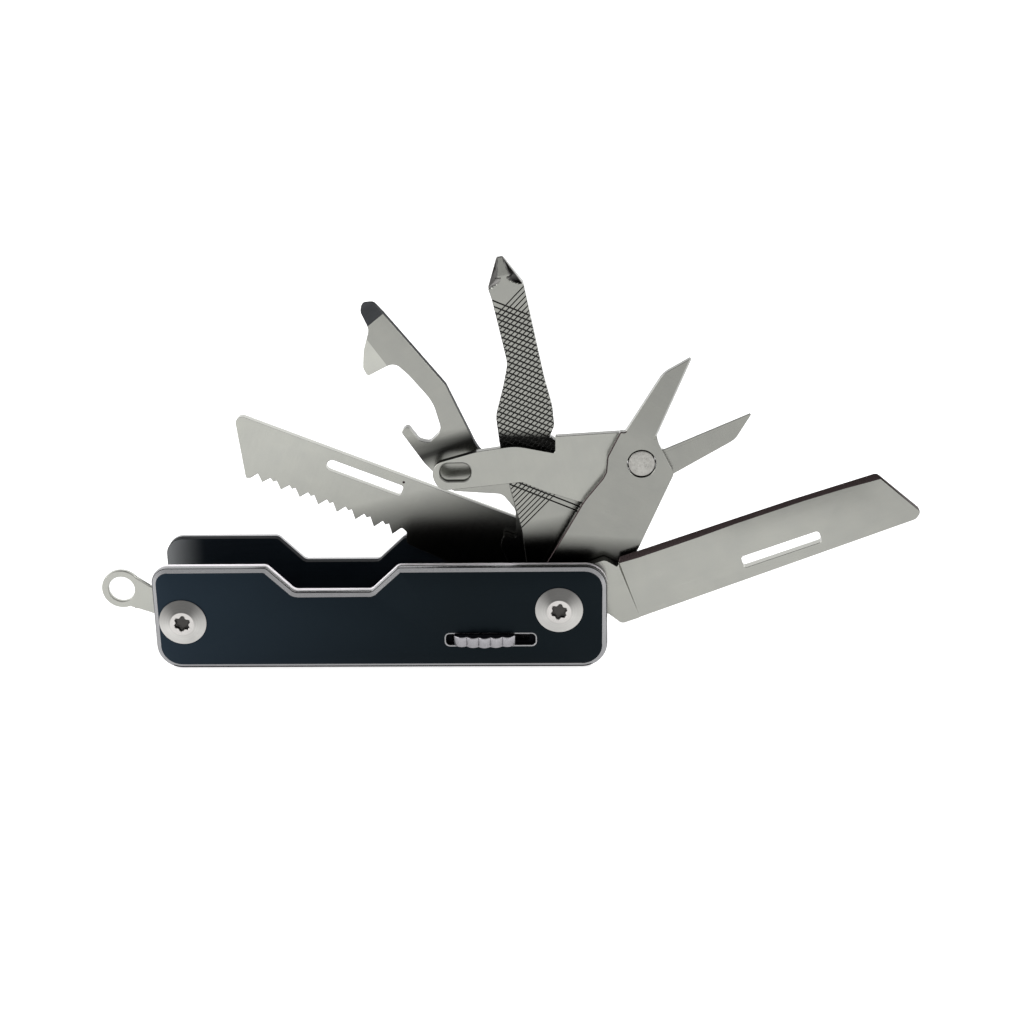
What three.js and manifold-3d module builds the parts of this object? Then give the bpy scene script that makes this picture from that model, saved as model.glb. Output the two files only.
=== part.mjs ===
// Pocket multi tool: two bevelled plates on steel liners, with a knife, scissors,
// a file with a cross-head tip, a can and bottle opener and a saw that fold into the
// gap between them, a lanyard tab at the far end and a sliding blade lock.
//
// Millimetres. X runs along the handle, Y through it from front to back, Z up.
// The origin is the middle of the spring edge that the handle stands on.
import * as THREE from 'three';
import { mergeVertices } from 'three/addons/utils/BufferGeometryUtils.js';
import Module from 'manifold-3d';

const wasm = await Module();
wasm.setup();

// ---- driving dimensions -------------------------------------------------------

const LENGTH = 90;
const HEIGHT = 21.7;
const END_X = LENGTH / 2;

// The axle that every tool turns on, and the one that holds the lanyard tab.
const PIVOT = { x: 35.5, z: 12.6 };
const TAIL = { x: -39.2, z: 10.3 };

// Thickness of each layer, from front to back, with the running gap in front of it.
const GAP = 0.3;
const SCISSOR_GAP = 0.05;
const LAYER_LIST = [
  { name: 'frontScale', thickness: 1.4, gap: 0 },
  { name: 'frontLiner', thickness: 1.6, gap: 0 },
  { name: 'knife', thickness: 2.2, gap: GAP },
  { name: 'scissorPlate', thickness: 1.5, gap: GAP },
  { name: 'scissorLever', thickness: 1.5, gap: SCISSOR_GAP },
  { name: 'file', thickness: 2.4, gap: GAP },
  { name: 'opener', thickness: 2.0, gap: GAP },
  { name: 'saw', thickness: 1.6, gap: GAP },
  { name: 'rearLiner', thickness: 1.6, gap: GAP },
  { name: 'rearScale', thickness: 1.4, gap: 0 },
];

// How far each tool stands open, in degrees from folded.
const OPEN = { knife: 160, scissors: 120.5, lever: 43, file: 80, opener: 51, saw: 22 };

const BEVEL_WIDTH = 1.0;
const BEVEL_DEPTH = 0.45;
const EDGE_ROUND = 1.5;

const AXLE_RADIUS = 2.0;
const PIN_RADIUS = 1.1;
const RUNNING = 0.08;
const SNUG = 0.04;
const TANG_RADIUS = 5.8;
const WASHER_RADIUS = 4.4;
const WASHER_THICKNESS = 0.2;

const SCREW = { radius: 4.7, flat: 2.6, height: 1.1, shank: 1.2, shankLength: 2.2 };
const LOBE = { count: 6, radius: 1.6, depth: 0.85 };

// The bottom edge, the top of the back springs and the top of their pressing ends,
// measured from the pivot.
const SPRING = { bottom: -PIVOT.z, top: -8.7, press: -6.2, left: -67, right: 7.8 };
const PINS = [{ x: -48, z: -10.6 }, { x: -63, z: -10.6 }];

const LOCK_SLOT = { x: -13.6, z: -6.4, length: 17.8, height: 2.4, rim: 0.5 };
const SLIDER = { x: -14.8, length: 12, height: 2.1, rise: 1.9, ridges: 5 };

const RIVET = { x: -32.6, z: -0.4, radius: 2.65 };
const TAB = { x: -12.8, z: 5.2, outer: 4.0, hole: 2.6, eye: 4.2, thickness: 1.1 };

// Sides of a round hole or axle, and of the small pins and their holes.
const SEGMENTS = 32;
const PIN_SEGMENTS = 16;
const ARC_STEP = THREE.MathUtils.degToRad(24);
const LAYER = stackLayers(LAYER_LIST);

function stackLayers(list) {
  const total = list.reduce((sum, layer) => sum + layer.thickness + layer.gap, 0);
  const layers = {};
  let front = -total / 2;
  for (const layer of list) {
    front += layer.gap;
    layers[layer.name] = { front, back: front + layer.thickness };
    front += layer.thickness;
  }
  return layers;
}

// ---- solids ---------------------------------------------------------------------

function solid(geometry) {
  geometry.deleteAttribute('normal');
  geometry.deleteAttribute('uv');
  const merged = mergeVertices(geometry, 1e-4);
  const vertProperties = new Float32Array(merged.attributes.position.array);
  const triVerts = new Uint32Array(merged.index.array);
  return new wasm.Manifold(new wasm.Mesh({ numProp: 3, vertProperties, triVerts }));
}

function geometryOf(manifold) {
  const mesh = manifold.getMesh();
  const geometry = new THREE.BufferGeometry();
  geometry.setAttribute('position', new THREE.BufferAttribute(mesh.vertProperties, 3));
  geometry.setIndex(new THREE.BufferAttribute(mesh.triVerts, 1));
  return geometry;
}

function cut(body, ...tools) {
  return tools.reduce((rest, tool) => rest.subtract(tool), body);
}

function join(body, ...others) {
  return others.reduce((whole, other) => whole.add(other), body);
}

// ---- outlines and plates ----------------------------------------------------------

// A closed outline in X and Z. Each corner is [x, z, radius of its rounding].
function outline(corners) {
  const points = [];
  corners.forEach(([x, z, radius = 0], i) => {
    const corner = new THREE.Vector2(x, z);
    if (radius === 0) {
      points.push(corner);
      return;
    }
    const before = corners[(i + corners.length - 1) % corners.length];
    const after = corners[(i + 1) % corners.length];
    const toBefore = new THREE.Vector2(before[0], before[1]).sub(corner).normalize();
    const toAfter = new THREE.Vector2(after[0], after[1]).sub(corner).normalize();
    const half = Math.acos(THREE.MathUtils.clamp(toBefore.dot(toAfter), -1, 1)) / 2;
    const bisector = toBefore.clone().add(toAfter).normalize();
    const centre = corner.clone().addScaledVector(bisector, radius / Math.sin(half));
    const start = corner.clone().addScaledVector(toBefore, radius / Math.tan(half)).sub(centre);
    const end = corner.clone().addScaledVector(toAfter, radius / Math.tan(half)).sub(centre);
    const sweep = Math.atan2(start.cross(end), start.dot(end));
    const steps = Math.max(1, Math.ceil(Math.abs(sweep) / ARC_STEP));
    for (let step = 0; step <= steps; step += 1) {
      const turned = start.clone().rotateAround(new THREE.Vector2(), (sweep * step) / steps);
      points.push(turned.add(centre));
    }
  });
  return new THREE.Shape(points);
}

function roundedBox(x, z, length, height, radius) {
  const left = x - length / 2;
  const right = x + length / 2;
  const low = z - height / 2;
  const high = z + height / 2;
  return outline([[left, low, radius], [right, low, radius], [right, high, radius], [left, high, radius]]);
}

// A flat plate of an X-Z outline between two Y positions.
function plate(shape, front, back) {
  const geometry = new THREE.ExtrudeGeometry(shape, { depth: back - front, bevelEnabled: false });
  geometry.rotateX(Math.PI / 2);
  geometry.translate(0, back, 0);
  return solid(geometry);
}

function layerPlate(shape, layer, spare = 0) {
  return plate(shape, layer.front + spare, layer.back - spare);
}

// A round bar along Y, which is also what bores a round hole.
function bar(x, z, radius, front, back, segments = SEGMENTS) {
  const geometry = new THREE.CylinderGeometry(radius, radius, back - front, segments);
  geometry.translate(x, (front + back) / 2, z);
  return solid(geometry);
}

function hole(x, z, radius, segments = SEGMENTS) {
  return bar(x, z, radius, -20, 20, segments);
}

function ring(x, z, outer, inner, front, back) {
  return cut(bar(x, z, outer, front, back), hole(x, z, inner));
}

// A long wedge that leaves an edge ground thin. The edge runs from one point to the
// other with the metal on its right. side is -1 for the front face and 1 for the back.
function wedge(from, to, side, grind) {
  const spread = (grind.full - grind.edge) / grind.width;
  const margin = 1;
  const wide = grind.width + 0.5;
  const shape = new THREE.Shape([
    new THREE.Vector2(-margin, side * (grind.edge - margin * spread)),
    new THREE.Vector2(wide, side * (grind.edge + wide * spread)),
    new THREE.Vector2(wide, side * (grind.full + margin)),
    new THREE.Vector2(-margin, side * (grind.full + margin)),
  ]);
  const along = new THREE.Vector3(to[0] - from[0], 0, to[1] - from[1]);
  const length = along.length() + (grind.past ?? 0);
  along.normalize();
  const inward = new THREE.Vector3(along.z, 0, -along.x);
  const geometry = new THREE.ExtrudeGeometry(shape, { depth: length, bevelEnabled: false });
  geometry.applyMatrix4(new THREE.Matrix4().makeBasis(inward, new THREE.Vector3(0, 1, 0), along));
  geometry.translate(from[0], grind.middle, from[1]);
  return solid(geometry);
}

function ground(body, layer, from, to, grind) {
  const middle = (layer.front + layer.back) / 2;
  const sides = grind.sides ?? [-1, 1];
  return cut(body, ...sides.map((side) => wedge(from, to, side, { ...grind, middle })));
}

// The round boss that every tool turns on, with its axle hole.
function tang(body, layer) {
  const boss = bar(0, 0, TANG_RADIUS, layer.front, layer.back);
  return cut(join(body, boss), hole(0, 0, AXLE_RADIUS + RUNNING));
}

// ---- handle -----------------------------------------------------------------------

// The plates' outline, with the finger notch in the top edge.
function handleOutline() {
  const top = HEIGHT;
  const floor = 16.5;
  return outline([
    [-END_X, 0, 5],
    [END_X, 0, 5],
    [END_X, top, 4.4],
    [4.0, top, EDGE_ROUND],
    [-1.5, floor, EDGE_ROUND],
    [-16.7, floor, EDGE_ROUND],
    [-22.0, top, EDGE_ROUND],
    [-END_X, top, 3.4],
  ]);
}

// A cover plate: square to its liner, bevelled all round on the outside.
function scaleBlank(layer, outward) {
  const side = layer.back - layer.front - BEVEL_DEPTH;
  const buried = 2;
  const geometry = new THREE.ExtrudeGeometry(handleOutline(), {
    depth: side + buried,
    bevelEnabled: true,
    bevelThickness: BEVEL_DEPTH,
    bevelSize: BEVEL_WIDTH,
    bevelOffset: -BEVEL_WIDTH,
    bevelSegments: 1,
  });
  geometry.rotateX(Math.PI / 2);
  const blockShape = roundedBox(0, HEIGHT / 2, LENGTH + 10, HEIGHT + 10, 0);
  if (outward < 0) {
    geometry.translate(0, layer.back + buried, 0);
    return cut(solid(geometry), plate(blockShape, layer.back, layer.back + 6));
  }
  geometry.translate(0, layer.back - BEVEL_DEPTH, 0);
  return cut(solid(geometry), plate(blockShape, layer.front - 6, layer.front));
}

function screwHoles(radius) {
  return [hole(PIVOT.x, PIVOT.z, radius), hole(TAIL.x, TAIL.z, radius)];
}

// The lock slot through the front cover, with a flared rim.
function lockSlotCut(layer) {
  const { length, height, rim } = LOCK_SLOT;
  const x = PIVOT.x + LOCK_SLOT.x;
  const z = PIVOT.z + LOCK_SLOT.z;
  const through = plate(roundedBox(x, z, length, height, 0.8), layer.front - 1, layer.back + 1);
  const flare = new THREE.ExtrudeGeometry(roundedBox(x, z, length, height, 0.8), {
    depth: 1,
    bevelEnabled: true,
    bevelThickness: rim,
    bevelSize: rim,
    bevelSegments: 1,
  });
  flare.rotateX(Math.PI / 2);
  flare.translate(0, layer.front + rim, 0);
  const mouth = solid(flare);
  const below = plate(roundedBox(x, z, length + 4, height + 4, 0), layer.front - 3, layer.front - 0.5);
  return join(through, cut(mouth, below));
}

function frontScale() {
  const layer = LAYER.frontScale;
  return cut(scaleBlank(layer, -1), ...screwHoles(SCREW.shank + RUNNING), lockSlotCut(layer));
}

function rearScale() {
  return cut(scaleBlank(LAYER.rearScale, 1), ...screwHoles(SCREW.shank + RUNNING));
}

function pinHoles() {
  return PINS.map((pin) => hole(PIVOT.x + pin.x, PIVOT.z + pin.z, PIN_RADIUS + SNUG, PIN_SEGMENTS));
}

function liner(layer) {
  const blank = layerPlate(handleOutline(), layer);
  return cut(blank, ...screwHoles(AXLE_RADIUS + SNUG), ...pinHoles());
}

// The stem of the lock runs in this narrower slot, so the button can't fall through.
function frontLiner() {
  const x = PIVOT.x + LOCK_SLOT.x;
  const z = PIVOT.z + LOCK_SLOT.z;
  const slot = roundedBox(x, z, 15.4, 1.7, 0.6);
  return cut(liner(LAYER.frontLiner), plate(slot, -20, 0));
}

function axle(place) {
  const front = LAYER.frontLiner.front;
  const back = LAYER.rearLiner.back;
  const bore = SCREW.shank + SNUG;
  return cut(
    bar(place.x, place.z, AXLE_RADIUS, front, back),
    bar(place.x, place.z, bore, front - 1, front + 2.6),
    bar(place.x, place.z, bore, back - 2.6, back + 1),
  );
}

// A low cone head with a six-lobed socket, and a short shank into the axle.
function screw() {
  const shankEnd = -(LAYER.frontScale.back - LAYER.frontScale.front) - SCREW.shankLength;
  const profile = [
    [0, shankEnd], [SCREW.shank, shankEnd], [SCREW.shank, SNUG], [SCREW.radius, SNUG],
    [SCREW.radius, 0.3], [SCREW.flat + 0.25, SCREW.height - 0.06], [SCREW.flat, SCREW.height],
    [0, SCREW.height],
  ].map(([radius, height]) => new THREE.Vector2(radius, height));
  const body = solid(new THREE.LatheGeometry(profile, SEGMENTS));
  const lobes = [];
  const corners = LOBE.count * 2;
  for (let i = 0; i < corners; i += 1) {
    const angle = (i / corners) * Math.PI * 2;
    const radius = LOBE.radius * (i % 2 === 0 ? 1 : 0.74);
    lobes.push(new THREE.Vector2(radius * Math.cos(angle), radius * Math.sin(angle)));
  }
  const socket = new THREE.ExtrudeGeometry(new THREE.Shape(lobes), { depth: 2, bevelEnabled: false });
  socket.rotateX(-Math.PI / 2);
  socket.translate(0, SCREW.height - LOBE.depth, 0);
  return geometryOf(cut(body, solid(socket)));
}

function springPin(pin) {
  const front = LAYER.frontLiner.front;
  const back = LAYER.rearLiner.back;
  return bar(PIVOT.x + pin.x, PIVOT.z + pin.z, PIN_RADIUS, front, back, PIN_SEGMENTS);
}

// One back spring: a bar along the bottom edge, pinned twice, pressing on its tool's tang.
function backSpring(layer) {
  const { bottom, top, press, left, right } = SPRING;
  const shape = outline([
    [left, bottom, 1.6],
    [right - 3.4, bottom, 1.0],
    [right, bottom + 2.4, 1.0],
    [right - 1.6, press, 0.6],
    [1.4, press, 0.6],
    [0.2, top, 1.2],
    [left, top, 1.6],
  ]);
  return cut(layerPlate(shape, layer), ...springHoles());
}

function springSpacer(layer) {
  const { bottom, top, left } = SPRING;
  const shape = outline([[left, bottom, 1.6], [-42, bottom, 1.6], [-42, top, 1.6], [left, top, 1.6]]);
  return cut(layerPlate(shape, layer), ...springHoles());
}

function springHoles() {
  return PINS.map((pin) => hole(pin.x, pin.z, PIN_RADIUS + SNUG, PIN_SEGMENTS));
}

function washer(inFront) {
  const front = inFront.back + (GAP - WASHER_THICKNESS) / 2;
  return ring(0, 0, WASHER_RADIUS, AXLE_RADIUS + RUNNING, front, front + WASHER_THICKNESS);
}

// ---- tools, drawn folded, with the pivot at the origin and the tip to the left ---------

// A finger slot, with its own rounding at the tip end.
function fingerSlot(x, z, round) {
  return plate(outline([
    [x - 8, z - 1.2, round], [x + 8, z - 1.2, 0.6], [x + 8, z + 1.2, 0.6], [x - 8, z + 1.2, round],
  ]), -20, 20);
}

function knife() {
  const layer = LAYER.knife;
  const heel = [-14.6, -4.72];
  const belly = [-50, -4.47];
  const corner = [-66.85, -4.0];
  const point = [-72.75, 6.2];
  const shape = outline([
    [0, -TANG_RADIUS],
    [-7.5, -5.5, 2],
    [-11.6, -5.6, 1.2],
    [-13.5, -3.2, 0.4],
    [...heel, 0.2],
    [...belly, 60],
    [...corner, 1.3],
    [...point, 1.2],
    [-71.2, 7.45, 1.4],
    [-13.5, 8.5, 0],
    [-10.2, 8.5, 1.2],
    [-8.3, 5.4, 1.2],
    [-4, 4.2],
    [0, 3],
  ]);
  const blank = tang(layerPlate(shape, layer), layer);
  const flat = { width: 13.2, full: 1.1, edge: 0.28, past: 12 };
  const edge = { width: 1.5, full: 0.45, edge: 0.03 };
  let blade = ground(blank, layer, [-13.9, -4.9], [-67, -4.4], flat);
  blade = ground(blade, layer, heel, belly, edge);
  blade = ground(blade, layer, belly, corner, edge);
  blade = ground(blade, layer, corner, point, { width: 0.8, full: 0.6, edge: 0.03 });
  return cut(blade, fingerSlot(-44.8, 4.45, 0.7));
}

// The front half of the scissors: lower blade, pivot boss and tang in one plate.
function scissorPlate() {
  const layer = LAYER.scissorPlate;
  const tip = [-55.9, -2.95];
  const crook = [-38.7, -0.6];
  const shape = outline([
    [0, -TANG_RADIUS],
    [-20.4, -6.2, 12],
    [-26.2, -5.4, 1.2],
    [-27.6, -5.5, 1.2],
    [-30.5, -6.9, 2],
    [-36.1, -7.3, 0.3],
    [-36.5, -6.45, 0.5],
    [-50.1, -6.2, 5],
    [...tip, 0.3],
    [...crook, 0.3],
    [-37.7, 0.4, 0.8],
    [-34.1, 6.1, 1.5],
    [-16.9, 8.2, 8],
    [-9.9, 8.2, 1.2],
    [-8.3, 5.4, 1.2],
    [-4, 4.2],
    [0, 3],
  ]);
  const blank = tang(layerPlate(shape, layer), layer);
  const grind = { width: 0.6, full: 0.75, edge: 0.2, sides: [-1], past: 1 };
  return cut(ground(blank, layer, tip, crook, grind), hole(RIVET.x, RIVET.z, RIVET.radius + SNUG));
}

// The rear half, drawn closed about the rivet: upper blade to the left, thumb lever to
// the right, with a pocket for the spring that pushes it open.
function scissorLever() {
  const layer = LAYER.scissorLever;
  const tip = [-23.2, -3.3];
  const root = [-4.8, -1.0];
  const shape = outline([
    [40, -11.2, 2.7],
    [30, -11.15, 12],
    [22.6, -10.1, 10],
    [15.6, -6.4, 0.5],
    [14.6, -9.7, 0.3],
    [2.5, -6.9, 2],
    [-1.0, -5.3, 1.5],
    [...root, 0.3],
    [...tip, 0.2],
    [-18.6, 1.0, 4],
    [-5.4, 4.3, 3],
    [2, 5.9, 5],
    [8.5, 6.4, 4],
    [14.0, 4.6, 4],
    [19.8, 0.6, 4],
    [23.6, -2.6, 1.5],
    [40, -5.6, 2.7],
  ]);
  const thumbSlot = new THREE.Group();
  thumbSlot.position.set(35.5, 0, -8.3);
  thumbSlot.rotation.y = THREE.MathUtils.degToRad(16);
  thumbSlot.updateMatrixWorld();
  const slotGeometry = geometryOf(plate(roundedBox(0, 0, 6.2, 3.6, 1.75), -20, 20));
  slotGeometry.applyMatrix4(thumbSlot.matrixWorld);
  const pocket = bar(0, 0, 4.5, layer.front - 1, layer.front + 0.8);
  const blank = cut(layerPlate(shape, layer), solid(slotGeometry), pocket);
  const grind = { width: 2.2, full: 0.75, edge: -0.55, sides: [1], past: 0 };
  return cut(ground(blank, layer, root, tip, grind), hole(0, 0, RIVET.radius + RUNNING));
}

function scissorRivet() {
  const front = LAYER.scissorPlate.front;
  const back = LAYER.scissorLever.back;
  return bar(0, 0, RIVET.radius, front, back);
}

// An open ring of flat wire round the rivet.
function scissorSpring() {
  const front = LAYER.scissorLever.front + 0.1;
  const back = front + 0.6;
  const opening = plate(outline([[0, -0.9], [6, -0.9], [6, 0.9], [0, 0.9]]), -20, 20);
  return cut(ring(0, 0, 4.2, 3.3, front, back), opening);
}

function file() {
  const layer = LAYER.file;
  const shape = outline([
    [0, -TANG_RADIUS],
    [-14.3, -4.9, 8],
    [-22, -5.5, 12],
    [-32.8, -5.85, 12],
    [-38.6, -5.5, 5],
    [-44.1, -3.0, 6],
    [-48.6, -1.25, 6],
    [-61.5, -1.8, 1],
    [-63.9, -2.1, 0.8],
    [-69.3, 0.55, 0.5],
    [-69.3, 1.75, 0.5],
    [-63.5, 4.7, 0.9],
    [-44.8, 5.2, 10],
    [-38.5, 5.7, 8],
    [-34.6, 5.35, 0.6],
    [-32.5, 4.0, 0.4],
    [-31.2, 5.55, 0.4],
    [-30.2, 5.5, 0.4],
    [-29.9, 4.2, 0.3],
    [-27.5, 8.0, 1.5],
    [-9.8, 8.2, 1.2],
    [-8.3, 5.4, 1.2],
    [-4, 4.2],
    [0, 3],
  ]);
  const blank = tang(layerPlate(shape, layer), layer);
  return cut(blank, ...tipFlutes(layer));
}

// Two tapering flutes on each face of the cross-head tip, and thin flats at its end.
function tipFlutes(layer) {
  const middle = (layer.front + layer.back) / 2;
  const cuts = [];
  for (const side of [-1, 1]) {
    for (const slope of [-1, 1]) {
      const flute = new THREE.ConeGeometry(1.5, 11, 12);
      flute.rotateZ(-Math.PI / 2);
      flute.rotateY(THREE.MathUtils.degToRad(-slope * 14));
      flute.translate(-66.6, middle + side * 1.75, 1.2 + slope * 1.9);
      cuts.push(solid(flute));
    }
    cuts.push(wedge([-69.5, -3], [-69.5, 6], side, { width: 5, full: 1.2, edge: 0.5, middle }));
  }
  return cuts;
}

function opener() {
  const layer = LAYER.opener;
  const beak = [-57.8, -1.1];
  const shape = outline([
    [0, -TANG_RADIUS],
    [-8, -5.4, 2],
    [-14.3, -3.6, 1.0],
    [-15.9, -1.3, 0.8],
    [-13.4, -0.2, 0.5],
    [-18.4, 3.8, 2],
    [-22.6, 3.9, 2],
    [-29.3, -3.3, 1.5],
    [-37.4, -3.9, 1.2],
    [-45.4, -3.2, 0.8],
    [-45.3, -1.4, 0.7],
    [-41.6, -1.6, 1.2],
    [-40.0, -0.4, 1.0],
    [-40.3, 3.2, 2.4],
    [-46.0, 5.7, 9],
    [-53.0, 5.6, 5],
    [-56.9, 5.1, 2.2],
    [...beak, 0.5],
    [-59.6, -0.7, 1.5],
    [-62.3, 1.9, 8],
    [-64.9, 5.7, 2.5],
    [-68.5, 6.5, 1.5],
    [-69.7, 7.9, 1.0],
    [-68.4, 9.8, 1.2],
    [-46.9, 9.8, 2],
    [-32.6, 6.1, 8],
    [-22.5, 8.3, 6],
    [-9.8, 8.2, 1.2],
    [-8.3, 5.4, 1.2],
    [-4, 4.2],
    [0, 3],
  ]);
  const blank = tang(layerPlate(shape, layer), layer);
  const driver = { width: 5, full: 1.0, edge: 0.35 };
  const beakEdge = { width: 3.2, full: 1.0, edge: -0.2, sides: [-1], past: 0 };
  const tipped = ground(blank, layer, [-70, 4], [-69, 12], driver);
  return ground(tipped, layer, [-57.0, -1.9], [-63.4, 3.2], beakEdge);
}

function saw() {
  const layer = LAYER.saw;
  const pitch = 4.02;
  const teeth = 8;
  const firstTip = [-35.3, -2.75];
  const rise = 0.85 / (pitch * (teeth - 1));
  const bottom = [[-8, -5.2], [-31.8, -3.6, 1.0], [-32.8, -1.2, 0.6], [-34.0, -0.7, 0.5]];
  for (let i = 0; i < teeth; i += 1) {
    const x = firstTip[0] - i * pitch;
    const z = firstTip[1] + i * pitch * rise;
    bottom.push([x, z], [x - 1.25, z + 1.45], [x - 2.0, z + 0.95], [x - 2.75, z + 1.55]);
  }
  const shape = outline([
    [0, -TANG_RADIUS],
    ...bottom,
    [-66.45, -2.3, 0.2],
    [-73.3, 9.75, 1.3],
    [-31.0, 9.75, 20],
    [-9.8, 9.8, 1.2],
    [-8.3, 5.4, 1.2],
    [-4, 4.2],
    [0, 3],
  ]);
  return cut(tang(layerPlate(shape, layer), layer), fingerSlot(-44.6, 6.6, 1.15));
}

// ---- lanyard tab, about its own axle -------------------------------------------------------

function lanyardTab() {
  const back = LAYER.knife.back;
  const front = back - TAB.thickness;
  const arm = outline([
    [-13.2, 1.2, 4],
    [-10.0, 1.0, 4],
    [-6.0, -0.4, 4],
    [-2.5, -3.2],
    [3.2, -1.5],
    [1.5, 3.6],
    [-7.0, 5.8, 1],
    [-11.0, 8.6],
    [-13.6, 7.4],
  ]);
  return cut(
    join(plate(arm, front, back), bar(0, 0, TAB.eye, front, back), bar(TAB.x, TAB.z, TAB.outer, front, back)),
    hole(0, 0, AXLE_RADIUS + RUNNING),
    hole(TAB.x, TAB.z, TAB.hole),
  );
}

// ---- blade lock, drawn with the pivot at the origin -----------------------------------------

// The thumb button: a convex row of ridges on a neck that fills the slot's height.
function thumbSlider() {
  const face = LAYER.frontScale.front;
  const half = SLIDER.length / 2;
  const points = [new THREE.Vector2(half, LAYER.frontScale.back), new THREE.Vector2(-half, LAYER.frontScale.back)];
  const steps = SLIDER.ridges * 6;
  for (let i = 0; i <= steps; i += 1) {
    const along = (i / steps) * 2 - 1;
    const crown = SLIDER.rise * (1 - 0.55 * along * along) - 0.1;
    const ripple = 0.32 * Math.abs(Math.sin((i / 6) * Math.PI));
    points.push(new THREE.Vector2(along * half, face - crown - ripple + 0.3));
  }
  const geometry = new THREE.ExtrudeGeometry(new THREE.Shape(points), {
    depth: SLIDER.height,
    bevelEnabled: false,
  });
  geometry.translate(SLIDER.x, 0, LOCK_SLOT.z - SLIDER.height / 2);
  return solid(geometry);
}

function sliderStem() {
  const shape = roundedBox(SLIDER.x, LOCK_SLOT.z, 8, 1.5, 0.5);
  return layerPlate(shape, LAYER.frontLiner, SNUG);
}

// The bar that the button pushes under the knife's tang.
function lockBar() {
  const shape = outline([
    [-24, -8.5, 0.6], [-7.2, -8.5, 0.3], [-7.2, -7.9, 0.3], [-9.5, -6.9, 0.6],
    [-10.6, -5.7, 0.4], [-19, -5.7, 0.6], [-20, -6.9, 0.6], [-24, -6.9, 0.6],
  ]);
  return layerPlate(shape, LAYER.knife, 0.1);
}

// ---- assembly ---------------------------------------------------------------------------------

const MATERIALS = {
  blackPlate: new THREE.MeshStandardMaterial({ color: 0x15181c, roughness: 0.42, metalness: 0.7 }),
  linerSteel: new THREE.MeshStandardMaterial({ color: 0xb9babc, roughness: 0.2, metalness: 1.0 }),
  bladeSteel: new THREE.MeshStandardMaterial({ color: 0xb4b5b2, roughness: 0.34, metalness: 1.0 }),
  screwSteel: new THREE.MeshStandardMaterial({ color: 0xd2d2ce, roughness: 0.28, metalness: 1.0 }),
  springSteel: new THREE.MeshStandardMaterial({ color: 0x9a9c9e, roughness: 0.4, metalness: 1.0 }),
  bronze: new THREE.MeshStandardMaterial({ color: 0xb08a4a, roughness: 0.4, metalness: 1.0 }),
};

const group = new THREE.Group();

function add(parent, name, geometry, material) {
  const mesh = new THREE.Mesh(geometry, MATERIALS[material]);
  mesh.name = name;
  parent.add(mesh);
  return mesh;
}

function turned(parent, place, degrees) {
  const pivot = new THREE.Group();
  pivot.position.set(place.x, 0, place.z);
  pivot.rotation.y = THREE.MathUtils.degToRad(degrees);
  parent.add(pivot);
  return pivot;
}

function addHandle() {
  add(group, 'front_scale', geometryOf(frontScale()), 'blackPlate');
  add(group, 'front_liner', geometryOf(frontLiner()), 'linerSteel');
  add(group, 'rear_liner', geometryOf(liner(LAYER.rearLiner)), 'blackPlate');
  add(group, 'rear_scale', geometryOf(rearScale()), 'blackPlate');
  add(group, 'pivot_axle', geometryOf(axle(PIVOT)), 'springSteel');
  add(group, 'tail_axle', geometryOf(axle(TAIL)), 'springSteel');
  add(group, 'mid_spring_pin', geometryOf(springPin(PINS[0])), 'springSteel');
  add(group, 'tail_spring_pin', geometryOf(springPin(PINS[1])), 'springSteel');
}

function addScrews() {
  for (const [end, place] of [['pivot', PIVOT], ['tail', TAIL]]) {
    const front = add(group, `front_${end}_screw`, screw(), 'screwSteel');
    front.position.set(place.x, LAYER.frontScale.front, place.z);
    front.rotation.z = Math.PI;
    const rear = add(group, `rear_${end}_screw`, screw(), 'screwSteel');
    rear.position.set(place.x, LAYER.rearScale.back, place.z);
  }
}

function addSprings() {
  const bench = turned(group, PIVOT, 0);
  add(bench, 'knife_back_spring', geometryOf(backSpring(LAYER.knife)), 'springSteel');
  add(bench, 'scissor_back_spring', geometryOf(backSpring(LAYER.scissorPlate)), 'springSteel');
  add(bench, 'spring_spacer', geometryOf(springSpacer(LAYER.scissorLever)), 'springSteel');
  add(bench, 'file_back_spring', geometryOf(backSpring(LAYER.file)), 'springSteel');
  add(bench, 'opener_back_spring', geometryOf(backSpring(LAYER.opener)), 'springSteel');
  add(bench, 'saw_back_spring', geometryOf(backSpring(LAYER.saw)), 'springSteel');
}

function addWashers() {
  const bench = turned(group, PIVOT, 0);
  const places = {
    knife_front_washer: LAYER.frontLiner,
    knife_rear_washer: LAYER.knife,
    scissor_rear_washer: LAYER.scissorLever,
    file_rear_washer: LAYER.file,
    opener_rear_washer: LAYER.opener,
    saw_rear_washer: LAYER.saw,
  };
  for (const [name, layer] of Object.entries(places)) {
    add(bench, name, geometryOf(washer(layer)), 'bronze');
  }
  const lever = LAYER.scissorLever;
  const spacer = ring(0, 0, 3.4, AXLE_RADIUS + RUNNING, lever.front + SNUG, lever.back - SNUG);
  add(bench, 'lever_layer_spacer', geometryOf(spacer), 'springSteel');
}

function addTail() {
  const bench = turned(group, TAIL, 0);
  const tabFront = LAYER.knife.back - TAB.thickness;
  const bore = AXLE_RADIUS + RUNNING;
  const frontSpacer = ring(0, 0, 3.6, bore, LAYER.frontLiner.back + 0.05, tabFront - 0.1);
  const rearSpacer = ring(0, 0, 3.6, bore, LAYER.knife.back + 0.1, LAYER.rearLiner.front - 0.05);
  add(bench, 'tail_front_spacer', geometryOf(frontSpacer), 'springSteel');
  add(bench, 'tail_rear_spacer', geometryOf(rearSpacer), 'springSteel');
  add(bench, 'lanyard_tab', geometryOf(lanyardTab()), 'bladeSteel');
}

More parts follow.
